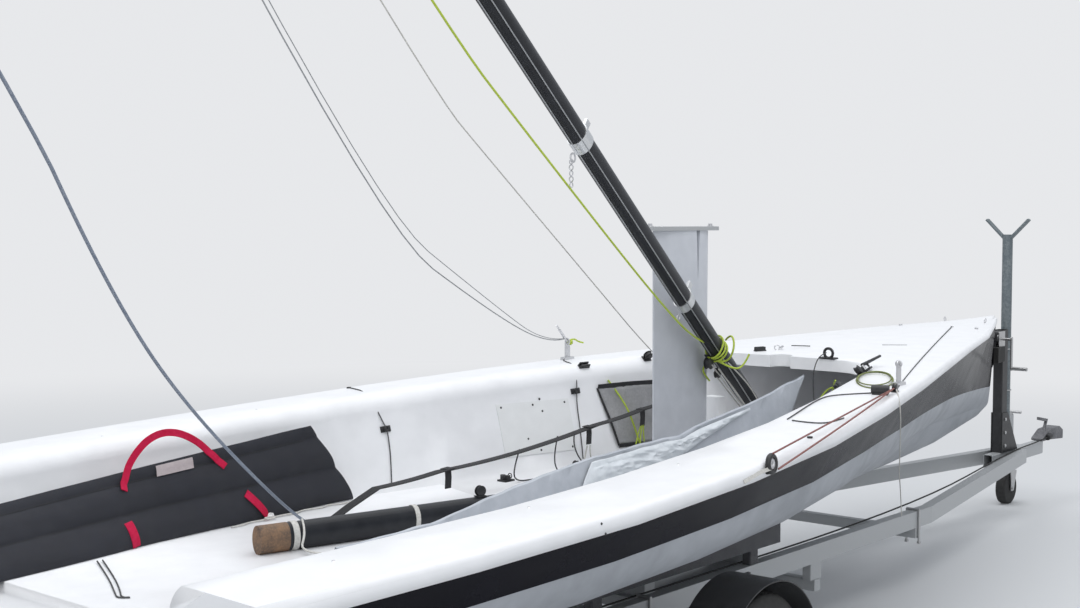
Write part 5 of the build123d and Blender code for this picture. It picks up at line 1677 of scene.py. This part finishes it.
class KEELBOAT_OT_keel_trim(bpy.types.Operator):
    """Add bolts to the keel head and pads to the trunk"""

    bl_idname = "keelboat.keel_trim"
    bl_label = "Keel trim"

    # Offsets from the keel's middle, and the trunk's rim above the cockpit floor
    HEAD_BOLTS = (-0.222, 0.222)
    HEAD_SCREWS = (-0.14, 0.0, 0.14)
    PADS = ((-0.16, -0.050), (0.16, -0.050), (-0.16, 0.050), (0.16, 0.050))
    TRUNK_TOP = 0.182

    def execute(self, context):
        low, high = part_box("keel_head_bar")
        steel = bmesh.new()
        middle = (low + high) / 2
        for x in self.HEAD_BOLTS:
            where = seat(Vector((middle.x + x, 0, high.z)), (0, 0, 1))
            add_round(steel, where, 0.014, 0.003, (0, 0, 0.0015), segments=20)
            add_round(steel, where, 0.010, 0.010, (0, 0, 0.007), segments=6)
        for x in self.HEAD_SCREWS:
            add_screw(steel, seat(Vector((middle.x + x, 0, high.z)), (0, 0, 1)), 0.008)
        settle_steel("keel_bolts", steel)
        pads = bmesh.new()
        for x, y in self.PADS:
            where = seat(Vector((middle.x + x, y, FLOOR + self.TRUNK_TOP)), (0, 0, 1))
            add_block(pads, where, (0.060, 0.026, 0.006), (0, 0, 0.002))
        settle_black("trunk_pads", pads)
        return {"FINISHED"}


class KEELBOAT_OT_boom_trim(bpy.types.Operator):
    """Add the end wrap, bands, sheet blocks and tie of the boom"""

    bl_idname = "keelboat.boom_trim"
    bl_label = "Boom trim"

    # Aft end from the transom, to port and above the floor, and how the boom lies
    AFT = (1.155, 0.272, 0.0483)
    YAW = math.radians(13)
    LENGTH = 2.75
    OVAL = (0.048, 0.036)
    # Bands and blocks: distances from the aft end, and each band's width
    BANDS = ((0.118, 0.022), (0.60, 0.018), (1.45, 0.018))
    BLOCKS = (0.9, 1.9, 2.4)
    # Tie: distance along the boom, to its side and above its axis
    TIE = ((0.165, 0.0, 0.052), (0.15, -0.06, 0.02), (0.10, -0.10, -0.044), (0.22, -0.17, -0.044))

    def execute(self, context):
        run = Vector((math.cos(self.YAW), -math.sin(self.YAW), 0))
        side = Vector((math.sin(self.YAW), math.cos(self.YAW), 0))
        start = at(*self.AFT)
        tan = bmesh.new()
        self.band(tan, start, run, -0.002, 0.105, 0.0015)
        settle("boom_end_wrap", tan, BOAT, finish("wrap_tan"))
        pale = bmesh.new()
        for offset, wide in self.BANDS:
            self.band(pale, start, run, offset, offset + wide, 0.003)
        settle("boom_bands", pale, BOAT, finish("rope_white"))
        black = bmesh.new()
        for offset in self.BLOCKS:
            top = start + run * offset + Vector((0, 0, 0.047))
            add_cheek_block(black, seat(top, (0, 0, 1), run), 1.0)
        fore = start + run * self.LENGTH
        add_block(black, seat(fore, run, (0, 0, 1)), (0.040, 0.026, 0.03), (0, 0, 0.008), bevel=0.006)
        settle_black("boom_blocks", black)
        tie = [start + run * along + side * out + Vector((0, 0, up)) for along, out, up in self.TIE]
        lines("boom_tie", [tie], 0.004, "rope_white")
        return {"FINISHED"}

    def band(self, shape, start, run, near, far, proud):
        """Thin band round the boom's oval between two distances."""
        where = seat(start + run * (near + far) / 2, run, (0, 0, 1))
        oval = where @ Matrix.Diagonal((self.OVAL[0] + proud, self.OVAL[1] + proud, 1, 1))
        bmesh.ops.create_cone(
            shape, cap_ends=True, segments=32, radius1=1.0, radius2=1.0, depth=far - near, matrix=oval,
        )


def add_nut(shape, place, normal, radius, depth, lift=0.0):
    """Hexagon head on a face."""
    add_round(shape, seat(Vector(place), normal), radius, depth, (0, 0, lift), segments=6)


def add_u_bolt(shape, centre, across, drop, radius=0.006):
    """U-bolt over a rail: two legs with nuts and a bow."""
    across = Vector(across)
    for side in (-1, 1):
        leg = Vector(centre) + across * side
        foot = leg - Vector((0, 0, drop))
        add_bar(shape, leg, foot, radius)
        add_nut(shape, foot, (0, 0, -1), 0.011, 0.010, 0.002)
    add_bar(shape, Vector(centre) - across * 1.06, Vector(centre) + across * 1.06, radius)


class KEELBOAT_OT_trailer_trim(bpy.types.Operator):
    """Add bolts, nuts, lamps, cable and winch strap on the trailer"""

    bl_idname = "keelboat.trailer_trim"
    bl_label = "Trailer trim"

    RAIL_Y = 0.43
    # Distances from the transom of the U-bolts and of the axle's brackets
    U_BOLTS = (0.60, 4.55, 2.375)
    BRACKETS = (2.85, 3.60)
    BRACKET_FOOT = 0.296
    # Heights of the bolts on the winch post and of the rings on the mast pole
    POST_BOLTS = (0.42, 0.50, 0.58)
    POLE_RINGS = (0.75, 1.0)
    LAMP_Y = 0.70
    RIM_FACE_Y = 0.99
    # Cable and plug: distance from the transom, y and height above the ground
    CABLE = (
        (0.5, -0.395, 0.39), (2.0, -0.398, 0.384), (4.6, -0.398, 0.384), (6.6, -0.062, 0.386),
        (7.05, -0.034, 0.384), (7.20, -0.045, 0.40),
    )
    PLUG = (7.225, -0.047, 0.402)
    # Winch drum and bow eye from the transom, the middle and the cockpit floor
    DRUM = (6.472, 0, 0.42)
    BOW_EYE = (6.376, 0, 0.255)

    def execute(self, context):
        self.bolts()
        self.lamps()
        self.cable()
        self.winch()
        self.wheels()
        return {"FINISHED"}

    def bolts(self):
        """U-bolts where the cross members meet the rails, and bracket bolts."""
        steel = bmesh.new()
        for name, side in (("rail_port", 1), ("rail_starboard", -1)):
            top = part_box(name)[1].z
            y = side * self.RAIL_Y
            for x in self.U_BOLTS:
                add_u_bolt(steel, (TRANSOM + x, y, top + 0.006), (0, 0.032, 0), 0.155)
            for x in self.BRACKETS:
                for dx in (-0.032, 0.032):
                    foot = (TRANSOM + x + dx, y, self.BRACKET_FOOT)
                    add_nut(steel, foot, (0, 0, -1), 0.010, 0.008)
        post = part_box("winch_post")[0].x
        for z in self.POST_BOLTS:
            for side in (-1, 1):
                add_nut(steel, (post + 0.040, side * 0.037, z), (0, side, 0), 0.011, 0.010)
        low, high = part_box("mast_pole")
        middle = (low.x + high.x) / 2
        for z in self.POLE_RINGS:
            ring = seat(Vector((middle, 0, z)), (0, 0, 1))
            add_ring(steel, ring, 0.0335, 0.004, steps=28, sides=8)
            add_bar(steel, (middle - 0.036, 0, z), (post + 0.078, 0, z), 0.006)
        settle("trailer_bolts", steel, BOAT, finish("zinc"))

    def lamps(self):
        """Rear lamps and a bare plate on the light board."""
        low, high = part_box("light_board")
        height = (low.z + high.z) / 2
        red = bmesh.new()
        amber = bmesh.new()
        backs = bmesh.new()
        for side in (-1, 1):
            base = seat(Vector((low.x, side * self.LAMP_Y, height)), (-1, 0, 0), (0, 0, 1))
            add_block(backs, base, (0.100, 0.230, 0.012), (0, 0, 0.006), bevel=0.004)
            add_block(red, base, (0.084, 0.130, 0.030), (0, 0.04 * side, 0.024), bevel=0.008)
            add_block(amber, base, (0.084, 0.074, 0.030), (0, -0.068 * side, 0.024), bevel=0.008)
        plate = seat(Vector((low.x, 0, height)), (-1, 0, 0), (0, 0, 1))
        add_block(backs, plate, (0.100, 0.500, 0.006), (0, 0, 0.003), bevel=0.002)
        settle_black("lamp_bases", backs)
        settle("lamp_lenses_red", red, BOAT, finish("lens_red"))
        settle("lamp_lenses_amber", amber, BOAT, finish("lens_amber"))

    def cable(self):
        """Cable from the light board along the frame to its plug at the coupling."""
        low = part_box("light_board")[0]
        route = [(low.x + 0.02, -0.2, low.z + 0.1)]
        for x, y, z in self.CABLE:
            route.append((TRANSOM + x, y, z))
        lines("trailer_cable", [route], 0.004, "rubber")
        plug = bmesh.new()
        x, y, z = self.PLUG
        where = seat(Vector((TRANSOM + x, y, z)), (1, -0.05, 0.1))
        add_round(plug, where, 0.019, 0.055, segments=20, bevel=0.003)
        settle_black("trailer_plug", plug)

    def winch(self):
        """Strap on the winch drum that leads to the bow eye."""
        centre = at(*self.DRUM)
        wound = bmesh.new()
        for turn, radius in enumerate((0.0315, 0.0345, 0.0375)):
            wide = 0.050 - 0.004 * turn
            add_round(wound, seat(centre, (0, 1, 0)), radius, wide, segments=32, bevel=0.001)
        settle("winch_strap_coil", wound, "winch_drum", finish("webbing_black"))
        strap = bmesh.new()
        eye = at(*self.BOW_EYE)
        run = [
            centre + Vector((-0.030, 0, -0.022)), centre + Vector((-0.06, 0, -0.08)),
            eye + Vector((0.030, 0, 0.02)), eye + Vector((0.012, 0, 0.0)),
        ]
        strap_between(strap, run, 0.046, 0.003, (0, 1, 0))
        settle("winch_strap", strap, BOAT, finish("webbing_black"))
        hook = bmesh.new()
        add_ring(hook, seat(eye + Vector((0.004, 0, 0)), (0, 1, 0)), 0.018, 0.005, steps=24, sides=8)
        settle_steel("bow_eye", hook)

    def wheels(self):
        """Wheel nuts, dust caps and valves on both wheels."""
        for side, end in ((1, "port"), (-1, "starboard")):
            low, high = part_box(f"rim_{end}")
            centre = (low + high) / 2
            nuts = bmesh.new()
            face = seat(Vector((centre.x, side * self.RIM_FACE_Y, centre.z)), (0, side, 0), (0, 0, 1))
            for k in range(4):
                spot = face @ Matrix.Rotation(math.radians(45 + 90 * k), 4, "Z")
                add_round(nuts, spot, 0.012, 0.016, (0.049, 0, 0.006), segments=6)
            add_round(nuts, face, 0.032, 0.022, (0, 0, 0.024), top=0.026, segments=32, bevel=0.003)
            add_bar(nuts, face @ Vector((0.118, 0, 0.0)), face @ Vector((0.112, 0, 0.032)), 0.004)
            settle(f"wheel_nuts_{end}", nuts, f"wheel_{end}", finish("zinc"))


class KEELBOAT_OT_tyres(bpy.types.Operator):
    """Replace both tyres with a spun carcass that has grooves and notched tread"""

    bl_idname = "keelboat.tyres"
    bl_label = "Tyres"

    # Half section from the bead outwards: share of half width, radius in metres
    SECTION = (
        (0.70, 0.146), (0.80, 0.152), (0.90, 0.165), (0.985, 0.190), (1.0, 0.205), (0.97, 0.225),
        (0.90, 0.243), (0.80, 0.2525), (0.66, 0.2568), (0.64, 0.2568), (0.63, 0.2500), (0.56, 0.2500),
        (0.55, 0.2582), (0.34, 0.2594), (0.33, 0.2520), (0.25, 0.2520), (0.24, 0.2598), (0.0, 0.2600),
    )
    STEPS = 120
    TREAD_FROM = 0.2540

    def execute(self, context):
        for side, end in ((1, "port"), (-1, "starboard")):
            low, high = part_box(f"tyre_{end}")
            centre = (low + high) / 2
            half = (high.y - low.y) / 2
            shape = bmesh.new()
            profile = [(-w, r) for w, r in self.SECTION]
            profile += [(w, r) for w, r in reversed(self.SECTION[:-1])]
            verts = []
            for w, r in profile:
                verts.append(shape.verts.new((centre.x, centre.y + w * half, centre.z + r)))
            edges = [shape.edges.new(pair) for pair in zip(verts, verts[1:])]
            bmesh.ops.spin(
                shape, geom=verts + edges, cent=centre, axis=(0, 1, 0),
                angle=2 * math.pi, steps=self.STEPS, use_merge=True,
            )
            self.notch(shape, centre, half)
            bmesh.ops.remove_doubles(shape, verts=shape.verts, dist=1e-5)
            piece = settle(
                f"tyre_tread_{end}", shape, f"wheel_{end}", finish("rubber"),
                replaces=(f"tyre_{end}",), crease=30,
            )
            wall = piece.modifiers.new("carcass", "SOLIDIFY")
            wall.thickness = 0.006
        return {"FINISHED"}

    def notch(self, shape, centre, half):
        """Every third step of the tread pressed in, on the shoulders and in the middle."""
        for vert in shape.verts:
            spoke = Vector((vert.co.x - centre.x, 0, vert.co.z - centre.z))
            share = abs(vert.co.y - centre.y) / half
            turn = round(math.atan2(spoke.z, spoke.x) / (2 * math.pi) * self.STEPS)
            if spoke.length > self.TREAD_FROM and turn % 3 == 0 and (0.5 < share or share < 0.28):
                vert.co -= spoke.normalized() * 0.005


class KEELBOAT_OT_rudder_trim(bpy.types.Operator):
    """Add the bolts of the rudder head and the grips of the tiller extension"""

    bl_idname = "keelboat.rudder_trim"
    bl_label = "Rudder trim"

    # Heights above the ground of the bolts through the rudder head, and its half width
    HEAD_BOLTS = (0.66, 0.80, 0.94, 1.03)
    HEAD_HALF = 0.031
    # The extension's y and end radius, and its grips as shares of its length
    EXTENSION_Y = 0.036
    EXTENSION_END = 0.013
    GRIPS = ((0.02, 0.30), (0.50, 0.62))

    def execute(self, context):
        low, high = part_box("rudder_head")
        steel = bmesh.new()
        x = (low.x + high.x) / 2 - 0.045
        for z in self.HEAD_BOLTS:
            for side in (-1, 1):
                add_nut(steel, (x, side * self.HEAD_HALF, z), (0, side, 0), 0.008, 0.004, 0.002)
        settle("rudder_bolts", steel, "rudder", finish("stainless"))
        low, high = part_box("tiller_extension")
        foot = Vector((high.x - self.EXTENSION_END, self.EXTENSION_Y, low.z))
        tip = Vector((low.x + self.EXTENSION_END, self.EXTENSION_Y, high.z))
        grip = bmesh.new()
        for start, end in self.GRIPS:
            add_bar(grip, foot.lerp(tip, start), foot.lerp(tip, end), 0.0145, segments=20)
        settle("extension_grips", grip, "extension", finish("rubber"))
        return {"FINISHED"}


class KEELBOAT_OT_stage(bpy.types.Operator):
    """Make the floor, the soft light and the camera"""

    bl_idname = "keelboat.stage"
    bl_label = "Stage"

    FLOOR_RADIUS = 90
    # Distances at which the floor starts and ends its turn to the backdrop's colour
    FADE = (3.5, 13.0)
    # Lamps: name, place, turn in degrees, size and power
    LAMPS = (
        ("sky_panel", (0.5, -1.0, 9.5), (0, 0, 0), 13.0, 850),
        ("side_panel", (-7.0, -7.0, 5.5), (55, 0, -45), 6.0, 170),
    )

    def execute(self, context):
        scene = context.scene
        colour = (*scene.boat_colours.backdrop, 1)
        shape = bmesh.new()
        bmesh.ops.create_circle(shape, cap_ends=True, segments=96, radius=self.FLOOR_RADIUS)
        mesh = bpy.data.meshes.new("floor")
        shape.to_mesh(mesh)
        shape.free()
        floor = bpy.data.objects.new("floor", mesh)
        scene.collection.objects.link(floor)
        mesh.materials.append(self.floor_finish(colour))
        self.light(scene, colour)
        self.camera(scene)
        scene.view_settings.view_transform = "Standard"
        return {"FINISHED"}

    def floor_finish(self, colour):
        """Pale floor that turns into the background colour far away."""
        material = bpy.data.materials.new("pale_floor")
        material.use_nodes = True
        tree = material.node_tree
        link = tree.links.new
        tree.nodes.clear()
        near = node(tree, "ShaderNodeBsdfDiffuse")
        near.inputs["Color"].default_value = (0.62, 0.63, 0.64, 1)
        far = node(tree, "ShaderNodeEmission")
        far.inputs["Color"].default_value = colour
        place = tree.nodes.new("ShaderNodeTexCoord")
        length = node(tree, "ShaderNodeVectorMath", operation="LENGTH")
        link(place.outputs["Object"], length.inputs[0])
        fade = node(tree, "ShaderNodeMapRange", interpolation_type="SMOOTHSTEP")
        fade.inputs["From Min"].default_value = self.FADE[0]
        fade.inputs["From Max"].default_value = self.FADE[1]
        link(length.outputs["Value"], fade.inputs["Value"])
        mix = tree.nodes.new("ShaderNodeMixShader")
        out = tree.nodes.new("ShaderNodeOutputMaterial")
        link(fade.outputs["Result"], mix.inputs[0])
        link(near.outputs[0], mix.inputs[1])
        link(far.outputs[0], mix.inputs[2])
        link(mix.outputs[0], out.inputs["Surface"])
        return material

    def light(self, scene, colour):
        """Even world light with a large soft lamp above and a weak one at the side."""
        world = bpy.data.worlds.new("studio")
        scene.world = world
        world.use_nodes = True
        tree = world.node_tree
        link = tree.links.new
        tree.nodes.clear()
        rays = tree.nodes.new("ShaderNodeLightPath")
        seen = node(tree, "ShaderNodeBackground")
        seen.inputs["Color"].default_value = colour
        soft = node(tree, "ShaderNodeBackground")
        soft.inputs["Color"].default_value = (0.86, 0.90, 0.96, 1)
        soft.inputs["Strength"].default_value = 0.70
        mix = tree.nodes.new("ShaderNodeMixShader")
        out = tree.nodes.new("ShaderNodeOutputWorld")
        link(rays.outputs["Is Camera Ray"], mix.inputs[0])
        link(soft.outputs[0], mix.inputs[1])
        link(seen.outputs[0], mix.inputs[2])
        link(mix.outputs[0], out.inputs["Surface"])
        for name, place, turn, size, power in self.LAMPS:
            lamp = bpy.data.lights.new(name, "AREA")
            lamp.shape = "SQUARE"
            lamp.size = size
            lamp.energy = power
            holder = bpy.data.objects.new(name, lamp)
            holder.location = place
            holder.rotation_euler = [math.radians(t) for t in turn]
            scene.collection.objects.link(holder)

    def camera(self, scene):
        """Camera at the photograph's place and angle."""
        lens = bpy.data.cameras.new("camera")
        lens.lens = CAMERA_LENS
        lens.sensor_width = 36
        lens.clip_end = 300
        camera = bpy.data.objects.new("camera", lens)
        camera.location = CAMERA_PLACE
        camera.rotation_euler = [math.radians(t) for t in CAMERA_TURN]
        scene.collection.objects.link(camera)
        scene.camera = camera


STEPS = (
    KEELBOAT_OT_finishes, KEELBOAT_OT_deck_fittings, KEELBOAT_OT_tank_trim, KEELBOAT_OT_control_lines,
    KEELBOAT_OT_toe_straps, KEELBOAT_OT_mesh_pockets, KEELBOAT_OT_sail_bag, KEELBOAT_OT_folded_sail,
    KEELBOAT_OT_mast_fittings, KEELBOAT_OT_rigging, KEELBOAT_OT_keel_trim, KEELBOAT_OT_boom_trim,
    KEELBOAT_OT_trailer_trim, KEELBOAT_OT_tyres, KEELBOAT_OT_rudder_trim, KEELBOAT_OT_stage,
)


class KEELBOAT_PT_dressing(bpy.types.Panel):
    """Sidebar panel that lists the steps and the values"""

    bl_idname = "KEELBOAT_PT_dressing"
    bl_label = "Keelboat"
    bl_space_type = "VIEW_3D"
    bl_region_type = "UI"
    bl_category = "Keelboat"

    def draw(self, context):
        for group in (context.scene.boat_colours, context.scene.boat_sizes):
            for label in group.__annotations__:
                self.layout.prop(group, label)
        for step in STEPS:
            self.layout.operator(step.bl_idname)


CLASSES = (BoatColours, BoatSizes, *STEPS, KEELBOAT_PT_dressing)


def register():
    """Registers the classes and hangs their values on the scene."""
    for each in CLASSES:
        bpy.utils.register_class(each)
    bpy.types.Scene.boat_colours = bpy.props.PointerProperty(type=BoatColours)
    bpy.types.Scene.boat_sizes = bpy.props.PointerProperty(type=BoatSizes)


def unregister():
    """Takes the classes and values away again."""
    del bpy.types.Scene.boat_sizes
    del bpy.types.Scene.boat_colours
    for each in reversed(CLASSES):
        bpy.utils.unregister_class(each)


def main():
    """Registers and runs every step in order."""
    register()
    for step in STEPS:
        group, name = step.bl_idname.split(".")
        getattr(getattr(bpy.ops, group), name)()


if __name__ == "__main__":
    main()
